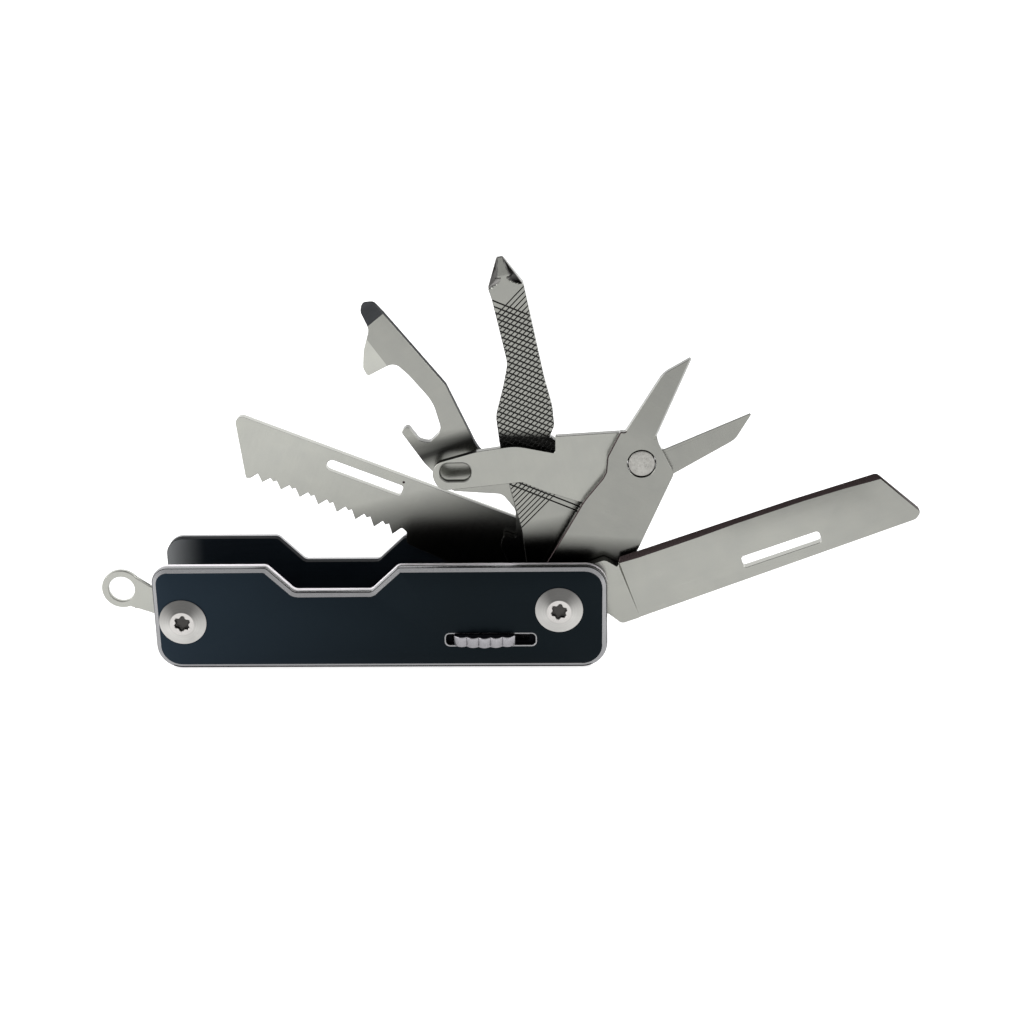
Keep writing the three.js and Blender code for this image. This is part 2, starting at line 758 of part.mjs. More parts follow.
function addTools() {
  add(turned(group, PIVOT, OPEN.knife), 'knife_blade', geometryOf(knife()), 'bladeSteel');
  const scissors = turned(group, PIVOT, OPEN.scissors);
  add(scissors, 'scissor_plate', geometryOf(scissorPlate()), 'bladeSteel');
  const rivet = turned(scissors, RIVET, 0);
  add(rivet, 'scissor_rivet', geometryOf(scissorRivet()), 'bladeSteel');
  add(rivet, 'scissor_spring', geometryOf(scissorSpring()), 'springSteel');
  add(turned(scissors, RIVET, OPEN.lever), 'scissor_lever', geometryOf(scissorLever()), 'bladeSteel');
  add(turned(group, PIVOT, OPEN.file), 'file_driver', geometryOf(file()), 'bladeSteel');
  add(turned(group, PIVOT, OPEN.opener), 'can_opener', geometryOf(opener()), 'bladeSteel');
  add(turned(group, PIVOT, OPEN.saw), 'saw_blade', geometryOf(saw()), 'bladeSteel');
}

function addLock() {
  const bench = turned(group, PIVOT, 0);
  add(bench, 'thumb_slider', geometryOf(thumbSlider()), 'screwSteel');
  add(bench, 'slider_stem', geometryOf(sliderStem()), 'springSteel');
  add(bench, 'lock_bar', geometryOf(lockBar()), 'springSteel');
}

addHandle();
addScrews();
addSprings();
addWashers();
addTail();
addTools();
addLock();

export default group;
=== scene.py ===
import math

import bpy
import numpy as np
from mathutils import Matrix, Vector
from mathutils.geometry import delaunay_2d_cdt


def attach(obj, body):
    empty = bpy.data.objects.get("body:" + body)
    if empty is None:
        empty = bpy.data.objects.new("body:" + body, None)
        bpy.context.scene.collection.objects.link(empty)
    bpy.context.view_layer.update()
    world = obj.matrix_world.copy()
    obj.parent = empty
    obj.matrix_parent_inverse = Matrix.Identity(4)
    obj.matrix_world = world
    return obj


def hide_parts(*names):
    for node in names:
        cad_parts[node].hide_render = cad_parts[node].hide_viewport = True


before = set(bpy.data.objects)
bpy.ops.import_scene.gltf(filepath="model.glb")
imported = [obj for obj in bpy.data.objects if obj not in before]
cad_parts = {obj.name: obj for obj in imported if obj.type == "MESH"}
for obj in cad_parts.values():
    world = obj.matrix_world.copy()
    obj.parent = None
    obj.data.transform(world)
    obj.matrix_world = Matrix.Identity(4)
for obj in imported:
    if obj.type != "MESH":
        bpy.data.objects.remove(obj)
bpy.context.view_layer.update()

# ---- sizes, in millimetres, as in the CAD source ----

MM = 0.001
HALF_LENGTH = 45.0
HEIGHT = 21.7
PIVOT = (35.5, 12.6)
TAIL = (-39.2, 10.3)
RIVET = (-32.6, -0.4)
OPEN = {"knife": 160, "scissors": 120.5, "lever": 43, "file": 80, "opener": 51, "saw": 22}
LAYERS = {
    "front_scale": (-9.525, -8.125),
    "front_liner": (-8.125, -6.525),
    "knife": (-6.225, -4.025),
    "scissor_plate": (-3.725, -2.225),
    "scissor_lever": (-2.175, -0.675),
    "file": (-0.375, 2.025),
    "opener": (2.325, 4.325),
    "saw": (4.625, 6.225),
    "rear_liner": (6.525, 8.125),
    "rear_scale": (8.125, 9.525),
}
TANG = 5.8
AXLE = 2.0
BORE = 2.08
LINER_BORE = 2.04
SCREW_BORE = 1.24
SCALE_BORE = 1.28
PIN = 1.1
PIN_BORE = 1.14
PINS = ((-48.0, -10.6), (-63.0, -10.6))
SPRING_LEFT, SPRING_TOP = -67, -8.7
SLOT = {"x": -13.6, "z": -6.4, "length": 17.8, "height": 2.4}
SLIDER_X = -14.8
TAB = {"ring": (-12.8, 5.2), "outer": 4.0, "hole": 2.6, "eye": 4.2, "thickness": 1.1}
FAR = 90.0

# ---- outlines in X and Z ----


def outline(corners, step=5.0):
    """A closed outline from corners (x, z, radius of its rounding)."""
    points = []
    count = len(corners)
    for i, corner in enumerate(corners):
        here = Vector(corner[:2])
        radius = corner[2] if len(corner) > 2 else 0
        if radius == 0:
            points.append(here)
            continue
        before = (Vector(corners[i - 1][:2]) - here).normalized()
        after = (Vector(corners[(i + 1) % count][:2]) - here).normalized()
        half = before.angle(after) / 2
        centre = here + (before + after).normalized() * radius / math.sin(half)
        start = here + before * radius / math.tan(half) - centre
        end = here + after * radius / math.tan(half) - centre
        sweep = math.atan2(start.x * end.y - start.y * end.x, start.dot(end))
        steps = max(1, math.ceil(abs(math.degrees(sweep)) / step))
        for k in range(steps + 1):
            turn = sweep * k / steps
            c, s = math.cos(turn), math.sin(turn)
            points.append(centre + Vector((c * start.x - s * start.y, s * start.x + c * start.y)))
    return np.array([tuple(p) for p in points])


def circle(x, z, radius, count=72):
    angles = np.arange(count) / count * 2 * math.pi
    return np.stack([x + radius * np.cos(angles), z + radius * np.sin(angles)], 1)


def slot_shape(x, z, length, height, radius, right_radius=None):
    """A rounded slot about its middle, whose right end may have its own rounding."""
    right_radius = radius if right_radius is None else right_radius
    left, right, low, high = x - length / 2, x + length / 2, z - height / 2, z + height / 2
    return outline([
        (left, low, radius), (right, low, right_radius), (right, high, right_radius), (left, high, radius),
    ])


def area_of(points):
    x, z = points[:, 0], points[:, 1]
    return 0.5 * float(np.sum(x * np.roll(z, -1) - np.roll(x, -1) * z))


def wound(points, anticlockwise):
    return points if (area_of(points) > 0) == anticlockwise else points[::-1].copy()


def inset(points, distance):
    """The loop moved to its left, which is into the metal."""
    back = points - np.roll(points, 1, 0)
    on = np.roll(points, -1, 0) - points
    back /= np.linalg.norm(back, axis=1)[:, None] + 1e-12
    on /= np.linalg.norm(on, axis=1)[:, None] + 1e-12
    normal_back = np.stack([-back[:, 1], back[:, 0]], 1)
    normal_on = np.stack([-on[:, 1], on[:, 0]], 1)
    total = normal_back + normal_on
    scale = 2 / np.maximum((total**2).sum(1), 0.35)
    return points + total * scale[:, None] * distance


def directions(start, end):
    """The unit vectors along a line and to its right."""
    run = np.array(end) - np.array(start)
    run /= np.linalg.norm(run)
    return run, np.array([run[1], -run[0]])


def along_way(x, z, start, way):
    """How far the points lie from the start along a unit vector."""
    return (x - start[0]) * way[0] + (z - start[1]) * way[1]


def contains(loop, points):
    """Which of the points lie inside the loop."""
    x, z = points[:, 0][:, None], points[:, 1][:, None]
    x0, z0 = loop[:, 0][None], loop[:, 1][None]
    x1, z1 = np.roll(loop[:, 0], -1)[None], np.roll(loop[:, 1], -1)[None]
    crosses = (z0 > z) != (z1 > z)
    with np.errstate(divide="ignore", invalid="ignore"):
        at = x0 + (z - z0) * (x1 - x0) / (z1 - z0)
    return (np.where(crosses, x < at, False).sum(1) % 2) == 1


def distance_to(loop, points):
    """The distance from each point to the closed loop."""
    start = loop[None]
    along = (np.roll(loop, -1, 0) - loop)[None]
    best = np.full(len(points), 1e9)
    for low in range(0, len(points), 2000):
        part = points[low : low + 2000, None]
        share = ((part - start) * along).sum(2) / np.maximum((along**2).sum(2), 1e-12)
        near = start + np.clip(share, 0, 1)[..., None] * along
        best[low : low + 2000] = np.sqrt(((part - near) ** 2).sum(2)).min(1)
    return best


def triangulate(loops, lines=(), dots=None):
    """Triangles over the area of some loops, which also follow the open lines."""
    points, edges = [], []

    def put(line, closed):
        first = len(points)
        points.extend(Vector(p) for p in line)
        count = len(line)
        edges.extend((first + i, first + (i + 1) % count) for i in range(count if closed else count - 1))

    for loop in loops:
        put(loop, True)
    for line in lines:
        put(line, False)
    if dots is not None:
        points.extend(Vector(p) for p in dots)
    flat, _, triangles, *_ = delaunay_2d_cdt(points, edges, [], 0, 1e-5)
    flat = np.array([tuple(p) for p in flat])
    return flat, np.array([t for t in triangles if len(t) == 3])


def boundary(triangles):
    """The directed edges that only one triangle has."""
    pairs = np.concatenate([triangles[:, [0, 1]], triangles[:, [1, 2]], triangles[:, [2, 0]]])
    have = {(int(a), int(b)) for a, b in pairs}
    return sorted((a, b) for a, b in have if (b, a) not in have)


def union(*shapes):
    """The outer loop of several overlapping outlines."""
    flat, triangles = triangulate(shapes)
    middle = flat[triangles].mean(1)
    inside = np.zeros(len(middle), bool)
    for shape in shapes:
        inside |= contains(shape, middle)
    after = dict(boundary(anticlockwise(flat, triangles[inside])))
    loops = []
    while after:
        start, here = next(iter(after.items()))
        loop = [start]
        del after[start]
        while here != start:
            loop.append(here)
            here = after.pop(here)
        loops.append(flat[loop])
    return max(loops, key=lambda loop: abs(area_of(loop)))


def anticlockwise(flat, triangles):
    a, b, c = (flat[triangles[:, i]] for i in range(3))
    turn = (b[:, 0] - a[:, 0]) * (c[:, 1] - a[:, 1]) - (b[:, 1] - a[:, 1]) * (c[:, 0] - a[:, 0])
    fixed = triangles.copy()
    fixed[turn < 0] = fixed[turn < 0][:, ::-1]
    return fixed[np.abs(turn) > 1e-9]


# ---- meshes ----

# A plate's front face, its back face and the wall between them.
FRONT, BACK, WALL = 0, 1, 2
# How edges are eased: pairs of the distance in from the edge and the drop of the face there.
RIM = ((0.0, 0.06), (0.06, 0.0))
SHALLOW = ((0.0, 0.034), (0.06, 0.0))


def mesh_object(name, points, faces, materials, indices=None, edge=None, sharp=28):
    """A mesh from millimetre points, smooth but for its sharper edges."""
    mesh = bpy.data.meshes.new(name)
    mesh.from_pydata((np.asarray(points) * MM).tolist(), [], [tuple(map(int, f)) for f in faces])
    for material in materials:
        mesh.materials.append(material)
    if indices is not None:
        mesh.polygons.foreach_set("material_index", np.asarray(indices, np.int32))
    if edge is not None:
        mesh.attributes.new("edge", "FLOAT", "POINT").data.foreach_set("value", np.asarray(edge, np.float32))
    mesh.validate()
    mesh.shade_smooth()
    mesh.set_sharp_from_angle(angle=math.radians(sharp))
    made = bpy.data.objects.new(name, mesh)
    bpy.context.scene.collection.objects.link(made)
    return made


def closed_line(loop):
    return np.concatenate([loop, loop[:1]])


def plate(name, outer, holes, half, materials, rims=None, base=None, lines=(), dots=None, zone=None):
    """A plate of an X-Z outline, lying across Y. Its two faces may be ground away and its edges eased.
    rims gives each loop's easing on the front and the back.
    base(side, x, z) is the half thickness on the front or the back.
    lines and dots are followed by the triangles, and zone(side, middle, spans) picks the materials
    from the triangles' middles and their distances to each loop."""
    loops = [wound(outer, True)] + [wound(hole, False) for hole in holes]
    rims = rims or {}
    eased = [rims.get(i, (RIM, RIM)) for i in range(len(loops))]
    drawn = []
    for loop, sides in zip(loops, eased):
        drawn.append(loop)
        for distance in sorted({pair[0] for side in sides for pair in side if pair[0] > 0}):
            drawn.append(inset(loop, distance))
    flat, triangles = triangulate(drawn, lines, dots)
    middle = flat[triangles].mean(1)
    keep = contains(loops[0], middle)
    for hole in loops[1:]:
        keep &= ~contains(hole, middle)
    triangles = anticlockwise(flat, triangles[keep])
    used = np.unique(triangles)
    renumber = np.full(len(flat), -1)
    renumber[used] = np.arange(len(used))
    flat, triangles = flat[used], renumber[triangles]
    near = np.stack([distance_to(loop, flat) for loop in loops])
    x, z = flat[:, 0], flat[:, 1]
    levels = []
    for side in (FRONT, BACK):
        thick = np.full(len(flat), half) if base is None else np.asarray(base(side, x, z), float)
        drop = np.zeros(len(flat))
        for distance, sides in zip(near, eased):
            steps = sorted(sides[side])
            drop = np.maximum(drop, np.interp(distance, [s[0] for s in steps], [s[1] for s in steps]))
        levels.append((thick, drop))
    (front, front_drop), (back, back_drop) = levels
    room = front + back
    share = np.minimum(1, np.maximum(room - 0.04, 0.0) / np.maximum(front_drop + back_drop, 1e-9))
    front = front - front_drop * share
    back = back - back_drop * share
    count = len(flat)
    points = np.concatenate([
        np.stack([x, -front, z], 1),
        np.stack([x, back, z], 1),
    ])
    rim_edges = boundary(triangles)
    faces = [tuple(t) for t in triangles]
    faces += [tuple(t[::-1] + count) for t in triangles]
    faces += [(a, a + count, b + count, b) for a, b in rim_edges]
    indices = np.zeros(len(faces), int)
    if zone is not None:
        middle = flat[triangles].mean(1)
        spans = np.stack([distance_to(loop, middle) for loop in loops])
        indices[: len(triangles)] = zone(FRONT, middle, spans)
        indices[len(triangles) : 2 * len(triangles)] = zone(BACK, middle, spans)
        wall = np.array([(flat[a] + flat[b]) / 2 for a, b in rim_edges])
        spans = np.stack([distance_to(loop, wall) for loop in loops])
        indices[2 * len(triangles) :] = zone(WALL, wall, spans)
    edge = np.clip(1 - near.min(0) / 0.06, 0, 1)
    return mesh_object(name + "_fine", points, faces, materials, indices, np.concatenate([edge, edge]))


def revolved(name, rings, materials, count=72, sharp=28, closed=False):
    """A turned piece along Y: rings of (radius, y), where a radius may be a function of the angle.
    It is solid between two rings of no radius, or a tube if it is closed."""
    angles = np.arange(count) / count * 2 * math.pi
    points, rows = [], []
    for radius, y in rings:
        if not callable(radius) and radius == 0:
            rows.append([len(points)])
            points.append((0, y, 0))
            continue
        reach = radius(angles) if callable(radius) else np.full(count, float(radius))
        rows.append(list(range(len(points), len(points) + count)))
        points.extend(zip(reach * np.cos(angles), np.full(count, y), reach * np.sin(angles)))
    faces = []
    pairs = list(zip(rows, rows[1:])) + ([(rows[-1], rows[0])] if closed else [])
    for low, high in pairs:
        for i in range(count):
            k = (i + 1) % count
            if len(low) == 1:
                faces.append((low[0], high[k], high[i]))
            elif len(high) == 1:
                faces.append((low[i], low[k], high[0]))
            else:
                faces.append((low[i], low[k], high[k], high[i]))
    return mesh_object(name + "_fine", points, faces, materials, None, np.zeros(len(points)), sharp)


def shift(centre, y=0.0):
    return Matrix.Translation((centre[0] * MM, y * MM, centre[1] * MM))


def swing(degrees):
    return Matrix.Rotation(math.radians(degrees), 4, "Y")


def place(piece, centre, y, degrees=0.0, outer=None):
    """Puts a piece that was drawn about its pivot where its tool stands open."""
    piece.matrix_world = (outer or Matrix.Identity(4)) @ shift(centre, y) @ swing(degrees)
    return piece


def done(piece, body, slot):
    """The piece rides on its body and replaces the CAD node that it is named after."""
    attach(piece, body)
    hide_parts(piece.name.removesuffix("_fine"))


def fix(piece, slot, y=0.0, centre=(0, 0)):
    """Joins a piece to the handle."""
    done(place(piece, centre, y), "handle", slot)


def middle_of(layer):
    front, back = LAYERS[layer]
    return (front + back) / 2


def half_of(layer):
    front, back = LAYERS[layer]
    return (back - front) / 2


# ---- materials ----


class Nodes:
    """A small helper that adds and joins shader nodes."""

    def __init__(self, tree):
        self.tree = tree
        tree.nodes.clear()

    def feed(self, socket, value):
        if isinstance(value, bpy.types.NodeSocket):
            self.tree.links.new(value, socket)
        else:
            socket.default_value = value

    def add(self, kind, settings=None, **inputs):
        """Inputs go by their names, or by their numbers as i0, i1 and so on."""
        node = self.tree.nodes.new(kind)
        for key, value in (settings or {}).items():
            setattr(node, key, value)
        for key, value in inputs.items():
            numbered = key[0] == "i" and key[1:].isdigit()
            self.feed(node.inputs[int(key[1:]) if numbered else key.replace("_", " ")], value)
        return node

    def math(self, operation, a, b=0.0, clamp=False):
        node = self.add("ShaderNodeMath", {"operation": operation, "use_clamp": clamp}, i0=a, i1=b)
        return node.outputs[0]

    def times(self, total, *factors):
        for factor in factors:
            total = self.math("MULTIPLY", total, factor)
        return total

    def ramp(self, value, low, high):
        """A straight ramp between two (value, result) pairs, level beyond them."""
        ends = {"i1": low[0], "i2": high[0], "i3": low[1], "i4": high[1]}
        return self.add("ShaderNodeMapRange", {"clamp": True}, i0=value, **ends).outputs[0]

    def mix(self, share, a, b):
        node = self.add("ShaderNodeMix", {"data_type": "RGBA"})
        for index, value in ((0, share), (6, a), (7, b)):
            self.feed(node.inputs[index], (*value, 1.0) if isinstance(value, tuple) else value)
        return node.outputs[2]

    def spot(self):
        return self.add("ShaderNodeTexCoord").outputs["Object"]

    def attribute(self, name):
        return self.add("ShaderNodeAttribute", {"attribute_name": name}).outputs["Fac"]

    def coordinates(self, scale, turn=(0, 0, 0)):
        turned = self.add("ShaderNodeMapping", Vector=self.spot(), Rotation=turn).outputs[0]
        return self.add("ShaderNodeMapping", Vector=turned, Scale=tuple(s / MM for s in scale)).outputs[0]

    def noise(self, vector, scale=1.0, detail=3.0, rough=0.55, distortion=0.0):
        node = self.add("ShaderNodeTexNoise", Vector=vector, Scale=scale, Detail=detail, Roughness=rough,
                        Distortion=distortion)
        return node.outputs["Fac"]

    def brushed(self, along, rough, fine_scale, fine_rough, share):
        """Coarse streaks along the grain with finer ones between them."""
        streaks = self.noise(along, 1.0, 4.0, rough)
        fine = self.noise(along, fine_scale, 2.0, fine_rough)
        return self.math("ADD", self.times(streaks, share), self.times(fine, 1 - share))

    def raised(self, strength, height):
        return self.add("ShaderNodeBump", Strength=strength, Distance=0.02 * MM, Height=height).outputs[0]


def start_material(name):
    made = bpy.data.materials.new(name)
    made.use_nodes = True
    return made, Nodes(made.node_tree)


def metal(name, color, rough, grain, turn, streak, bump, blotch, edge_gain, vary=0.08, warm=(1.0, 1.0, 1.0),
          painted_shades=(), turned=False, dyed=False):
    """A ground or brushed metal: fine streaks along the grain and soft blotches. Its edges wear lighter
    for a positive edge gain and darken with painted shade for a negative one.
    The grain is the streaks a millimetre along X, Y and Z, after a turn about Y in degrees. A turned
    metal has them round Y, and a dyed one is a dark coat.
    Each of the painted shades darkens the front face for the dark reflections and shadows of nearby
    parts, along x share * x + z share * z, or along the distance from a middle: (x share, z share,
    middle, where it is full, where it is gone, how dark, power)."""
    made, n = start_material(name)
    along = n.coordinates(grain, (0, math.radians(turn), 0))
    if turned:
        flat = n.coordinates((grain[0], 0.0, grain[2]))
        reach = n.add("ShaderNodeVectorMath", {"operation": "LENGTH"}, i0=flat).outputs[1]
        along = n.add("ShaderNodeCombineXYZ", X=reach).outputs[0]
    lined = n.brushed(along, 0.62, 2.7, 0.5, 0.65)
    cloud = n.noise(n.coordinates((0.22, 0.22, 0.22)), 1.0, 3.0, 0.5, 0.4)
    speck = n.noise(n.coordinates((3.1, 3.1, 3.1)), 1.0, 2.0, 0.6)
    light = n.ramp(lined, (0.3, 1.0 - streak), (0.7, 1.0 + streak))
    cloudy = n.ramp(cloud, (0.3, 1.0 - blotch), (0.7, 1.0 + blotch))
    specked = n.ramp(speck, (0.25, 0.985), (0.75, 1.015))
    # Edges wear lighter for a positive edge gain and take painted shade for a negative one.
    edge_wear_and_shade = n.math("MULTIPLY", n.attribute("edge"), n.ramp(speck, (0.35, 0.5), (0.65, 1.0)), True)
    total = n.times(light, cloudy, specked, n.math("ADD", 1.0, n.times(edge_wear_and_shade, edge_gain)))
    # Painted shade: the dark reflections and shadows of nearby parts, on the front face only.
    for x_share, z_share, middle, dark_at, light_at, darkest, power in painted_shades:
        spot = n.add("ShaderNodeSeparateXYZ", Vector=n.spot())
        way = n.math("ADD", n.times(spot.outputs[0], x_share / MM), n.times(spot.outputs[2], z_share / MM))
        if middle is not None:
            way = n.math("ABSOLUTE", n.math("SUBTRACT", way, middle))
        lit = n.math("POWER", n.ramp(way, (dark_at, 0.0), (light_at, 1.0)), power)
        lit = n.math("MAXIMUM", lit, n.ramp(spot.outputs[1], (-0.0001, 0.0), (0.0003, 1.0)))
        total = n.times(total, n.ramp(lit, (0.0, darkest), (1.0, 1.0)))
    # Painted shade from the mesh's attribute, as on the tops of the screws' cones.
    total = n.times(total, n.math("SUBTRACT", 1.0, n.attribute("dull")))
    tone = n.mix(cloud, color, tuple(c * w for c, w in zip(color, warm)))
    shade = n.add("ShaderNodeVectorMath", {"operation": "SCALE"}, i0=tone, Scale=total).outputs[0]
    streaky = n.ramp(lined, (0.3, rough - vary), (0.7, rough + vary))
    rougher = n.math("ADD", streaky, n.times(cloud, 0.05))
    rougher = n.math("SUBTRACT", rougher, n.times(edge_wear_and_shade, 0.08), True)
    shader = n.add("ShaderNodeBsdfPrincipled", Base_Color=shade, Metallic=0.0 if dyed else 1.0,
                   Roughness=rougher, Normal=n.raised(bump, lined))
    if dyed:
        shader.inputs["Specular IOR Level"].default_value = 0.012
    n.add("ShaderNodeOutputMaterial", Surface=shader.outputs[0])
    return made


def anodised(name, low, high, end, reach):
    """Brushed aluminium under a thin blue-black dye between two colours, with a painted reflection that
    lightens it to a third towards the lanyard end, from the first x of the reach to the second."""
    made, n = start_material(name)
    lined = n.brushed(n.coordinates((0.07, 9.0, 9.0)), 0.65, 3.0, 0.6, 0.6)
    cloud = n.noise(n.coordinates((0.09, 0.09, 0.09)), 1.0, 3.0, 0.5, 0.3)
    speck = n.noise(n.coordinates((5.0, 5.0, 5.0)), 1.0, 2.0, 0.6)
    base = n.mix(n.ramp(lined, (0.35, 0.0), (0.65, 1.0)), low, high)
    base = n.mix(n.ramp(cloud, (0.3, 0.0), (0.75, 0.5)), base, (0.0010, 0.0022, 0.0036))
    spot = n.add("ShaderNodeSeparateXYZ", Vector=n.spot())
    # Painted reflection: lighter towards the lanyard end.
    left = n.math("POWER", n.ramp(spot.outputs[0], (reach[0], 0.0), (reach[1], 1.0)), 1.5)
    base = n.mix(left, base, end)
    dust = n.ramp(speck, (0.72, 0.0), (0.80, 0.05))
    base = n.mix(dust, base, (0.05, 0.055, 0.06))
    rougher = n.ramp(lined, (0.3, 0.30), (0.7, 0.42))
    shader = n.add("ShaderNodeBsdfPrincipled", Base_Color=base, Metallic=0.0, Roughness=rougher,
                   Normal=n.raised(0.22, lined))
    shader.inputs["Specular IOR Level"].default_value = 0.12
    shader.inputs["Specular Tint"].default_value = (0.62, 0.86, 1.0, 1.0)
    n.add("ShaderNodeOutputMaterial", Surface=shader.outputs[0])
    return made


STEEL = (0.312, 0.315, 0.294)
WARMTH = (1.0, 0.995, 0.97)
# The covers' dye, with a painted reflection lightening it towards the lanyard end.
black = anodised("black_anodised", (0.0004, 0.0008, 0.0013), (0.0012, 0.0020, 0.0030),
                 (0.010, 0.0165, 0.025), (0.020, -0.045))
# The rear liner's face: near-black as painted shade for the dark inside the handle, with a painted reflection
# at its lanyard end.
inner_painted_shade = anodised("inner_painted_shade", (0.004, 0.005, 0.007), (0.006, 0.008, 0.011),
                       (0.20, 0.205, 0.21), (-0.037, -0.0445))
# Each metal: its colour, roughness, grain and turn, then how strong its streaks, their height, its
# blotches and its edges are: worn lighter when positive, painted with shade when negative.
black_side = metal("black_side", (0.004, 0.0045, 0.006), 0.34, (0.5, 5.0, 0.5), 0, 0.12, 0.1, 0.08, 0.3,
                   dyed=True)
bevel_metal = metal("cut_bevel", (0.282, 0.282, 0.289), 0.24, (0.25, 5.0, 5.0), 0, 0.05, 0.04, 0.03, 0.15)
liner_metal = metal("liner_polished", (0.36, 0.36, 0.37), 0.10, (0.06, 9.0, 9.0), 0, 0.05, 0.02, 0.04, 0.2,
                    vary=0.03)
# The liner's cut edges: rougher for the cut, and lighter as a painted highlight.
liner_edge_painted_highlight = metal("liner_edge_painted_highlight", (0.78, 0.75, 0.78), 0.6, (0.5, 0.5, 6.0), 0, 0.05, 0.05, 0.04, 0.1,
                   vary=0.04)
# Painted shade: near-black on the rear liner's edges and on the top wall of the opener's spine.
painted_shade_edge = metal("liner_dark_edge", (0.005, 0.0055, 0.007), 0.35, (0.5, 0.5, 6.0), 0, 0.05, 0.05, 0.04, 0.3,
                  vary=0.04, dyed=True)
# Painted shade in the file's cut grooves and in its scooped flutes.
groove_metal = metal("file_groove_painted_shade", (0.05, 0.05, 0.048), 0.35, (3.0, 3.0, 3.0), 0, 0.1, 0.05, 0.05, 0.2)
flute_metal = metal("file_flute_painted_shade", (0.085, 0.083, 0.08), 0.34, (0.3, 5.0, 5.0), 70, 0.1, 0.05, 0.05, 0.2)


def satin(name, share, turn=90.0, painted_shades=(), edge=-0.6):
    """The tools' finely brushed steel, painted a little lighter or darker on each tool for its light."""
    # Painted shade: the default negative edge darkens the rims.
    color = tuple(c * share for c in STEEL)
    return metal(name, color, 0.22, (0.10, 6.0, 6.0), turn, 0.05, 0.05, 0.035, edge, 0.03, WARMTH, painted_shades)


# Painted light: each share lightens or darkens the one steel for the light on that tool.
tab_metal = satin("tab_satin", 1.12, edge=0.1)
# Painted shade: the shades are the dark reflections of the handle and the shadows of neighbouring tools.
knife_metal = satin("knife_satin", 0.95, 0, [
    (1, 0, None, -5.5, -9.5, 0.15, 1), (1, 0, None, -75, -45, 0.85, 1),
], 0.1)
plate_metal = satin("scissor_plate_satin", 0.72, 90, [
    (1, 0.5, None, -9.6, -15.5, 0.04, 1.4), (1, 0, None, -42, -36, 0.88, 1),
])
lever_metal = satin("scissor_lever_satin", 0.9, 90, [(1, 0, None, -7, 3, 0.78, 1)])
file_metal = satin("file_satin", 0.78, 90, [
    (1, 0, None, -10.6, -16.2, 0.06, 1.2), (1, -0.2, -32.2, 1.1, 2.8, 0.02, 1),
])
opener_metal = satin("opener_satin", 0.80, 90, [
    (1, -0.58, -39.35, 0.4, 2.9, 0.5, 1), (1, -0.35, -37.4, 0.3, 2.8, 0.14, 1),
    (1, -0.2, None, -17, -21, 0.1, 1),
])
beak_metal = satin("opener_beak_satin", 1.2, 50)
saw_metal = satin("saw_satin", 1.1, 90, [
    (1, -1.4, None, -28.0, -45.0, 0.12, 1.6), (1, -1.4, None, -42, -70, 0.8, 1),
], 0.1)
# Painted shade: the knife's ground edge as its dark reflection, the scissors' edge shadow and the saw's dot.
painted_shade_metal = metal("painted_shade_steel", (0.034, 0.026, 0.026), 0.26, (0.5, 5.0, 5.0), 90, 0.2, 0.12, 0.12,
                   0.6)
# Painted shade on the opener's tapered screwdriver tip.
tip_metal = metal("opener_tip_painted_shade", (0.045, 0.047, 0.05), 0.36, (0.5, 3.0, 3.0), 90, 0.1, 0.12, 0.08, 0.3)
lobe_metal = metal("turned_screw", (0.495, 0.48, 0.465), 0.28, (5.0, 9.0, 5.0), 0, 0.08, 0.1, 0.06, 0.0,
                   turned=True)
# Painted shade in the screws' six-lobed sockets.
socket_metal = metal("screw_socket", (0.05, 0.048, 0.046), 0.30, (5.0, 5.0, 5.0), 0, 0.1, 0.06, 0.04, 0.1)
cone_metal = metal("turned_cone", (0.49, 0.482, 0.465), 0.34, (4.0, 9.0, 4.0), 0, 0.16, 0.3, 0.06, 0.0,
                   turned=True)
spring_metal = metal("spring_ground", (0.26, 0.26, 0.27), 0.34, (4.0, 0.3, 4.0), 0, 0.12, 0.15, 0.08, 0.35)
axle_metal = metal("axle_turned", (0.5, 0.5, 0.5), 0.25, (0.4, 8.0, 0.4), 0, 0.1, 0.1, 0.05, 0.2)
bronze_metal = metal("bronze_washer", (0.50, 0.33, 0.15), 0.42, (2.0, 8.0, 2.0), 0, 0.15, 0.12, 0.15, 0.4)
rivet_metal = metal("rivet_peened", (0.295, 0.29, 0.272), 0.28, (1.4, 1.4, 1.4), 0, 0.3, 0.9, 0.1, 0.1)
slider_metal = metal("slider_bright", (0.243, 0.239, 0.252), 0.22, (5.0, 5.0, 0.4), 0, 0.08, 0.1, 0.05, 0.3)

# ---- handle ----


def handle_outline():
    """The covers and the liners share it, with its notch in the top edge."""
    return outline([
        (-HALF_LENGTH, 0, 5), (HALF_LENGTH, 0, 5), (HALF_LENGTH, HEIGHT, 4.4), (4.0, HEIGHT, 1.5),
        (-1.5, 16.5, 1.5), (-16.7, 16.5, 1.5), (-22.0, HEIGHT, 1.5), (-HALF_LENGTH, HEIGHT, 3.4),
    ], 4)


def on_handle(points):
    """Points measured from the pivot, in the handle's own place."""
    return points + np.array(PIVOT)


# Eased edges: the covers' front and rear bevels, the lock slot's rim, plain edges and the front liner's.
BEVEL = ((0.0, 0.95), (0.16, 0.44), (0.27, 0.384), (0.5, 0.268), (0.97, 0.03), (1.03, 0.0))
REAR_BEVEL = ((0.0, 0.5), *BEVEL[1:])
FLARE = ((0.0, 0.10), (0.03, 0.06), (0.26, 0.0))
SQUARE = ((0.0, 0.04), (0.04, 0.0))
LINER_CHAMFER = ((0.0, 0.8), (0.3, 0.0))


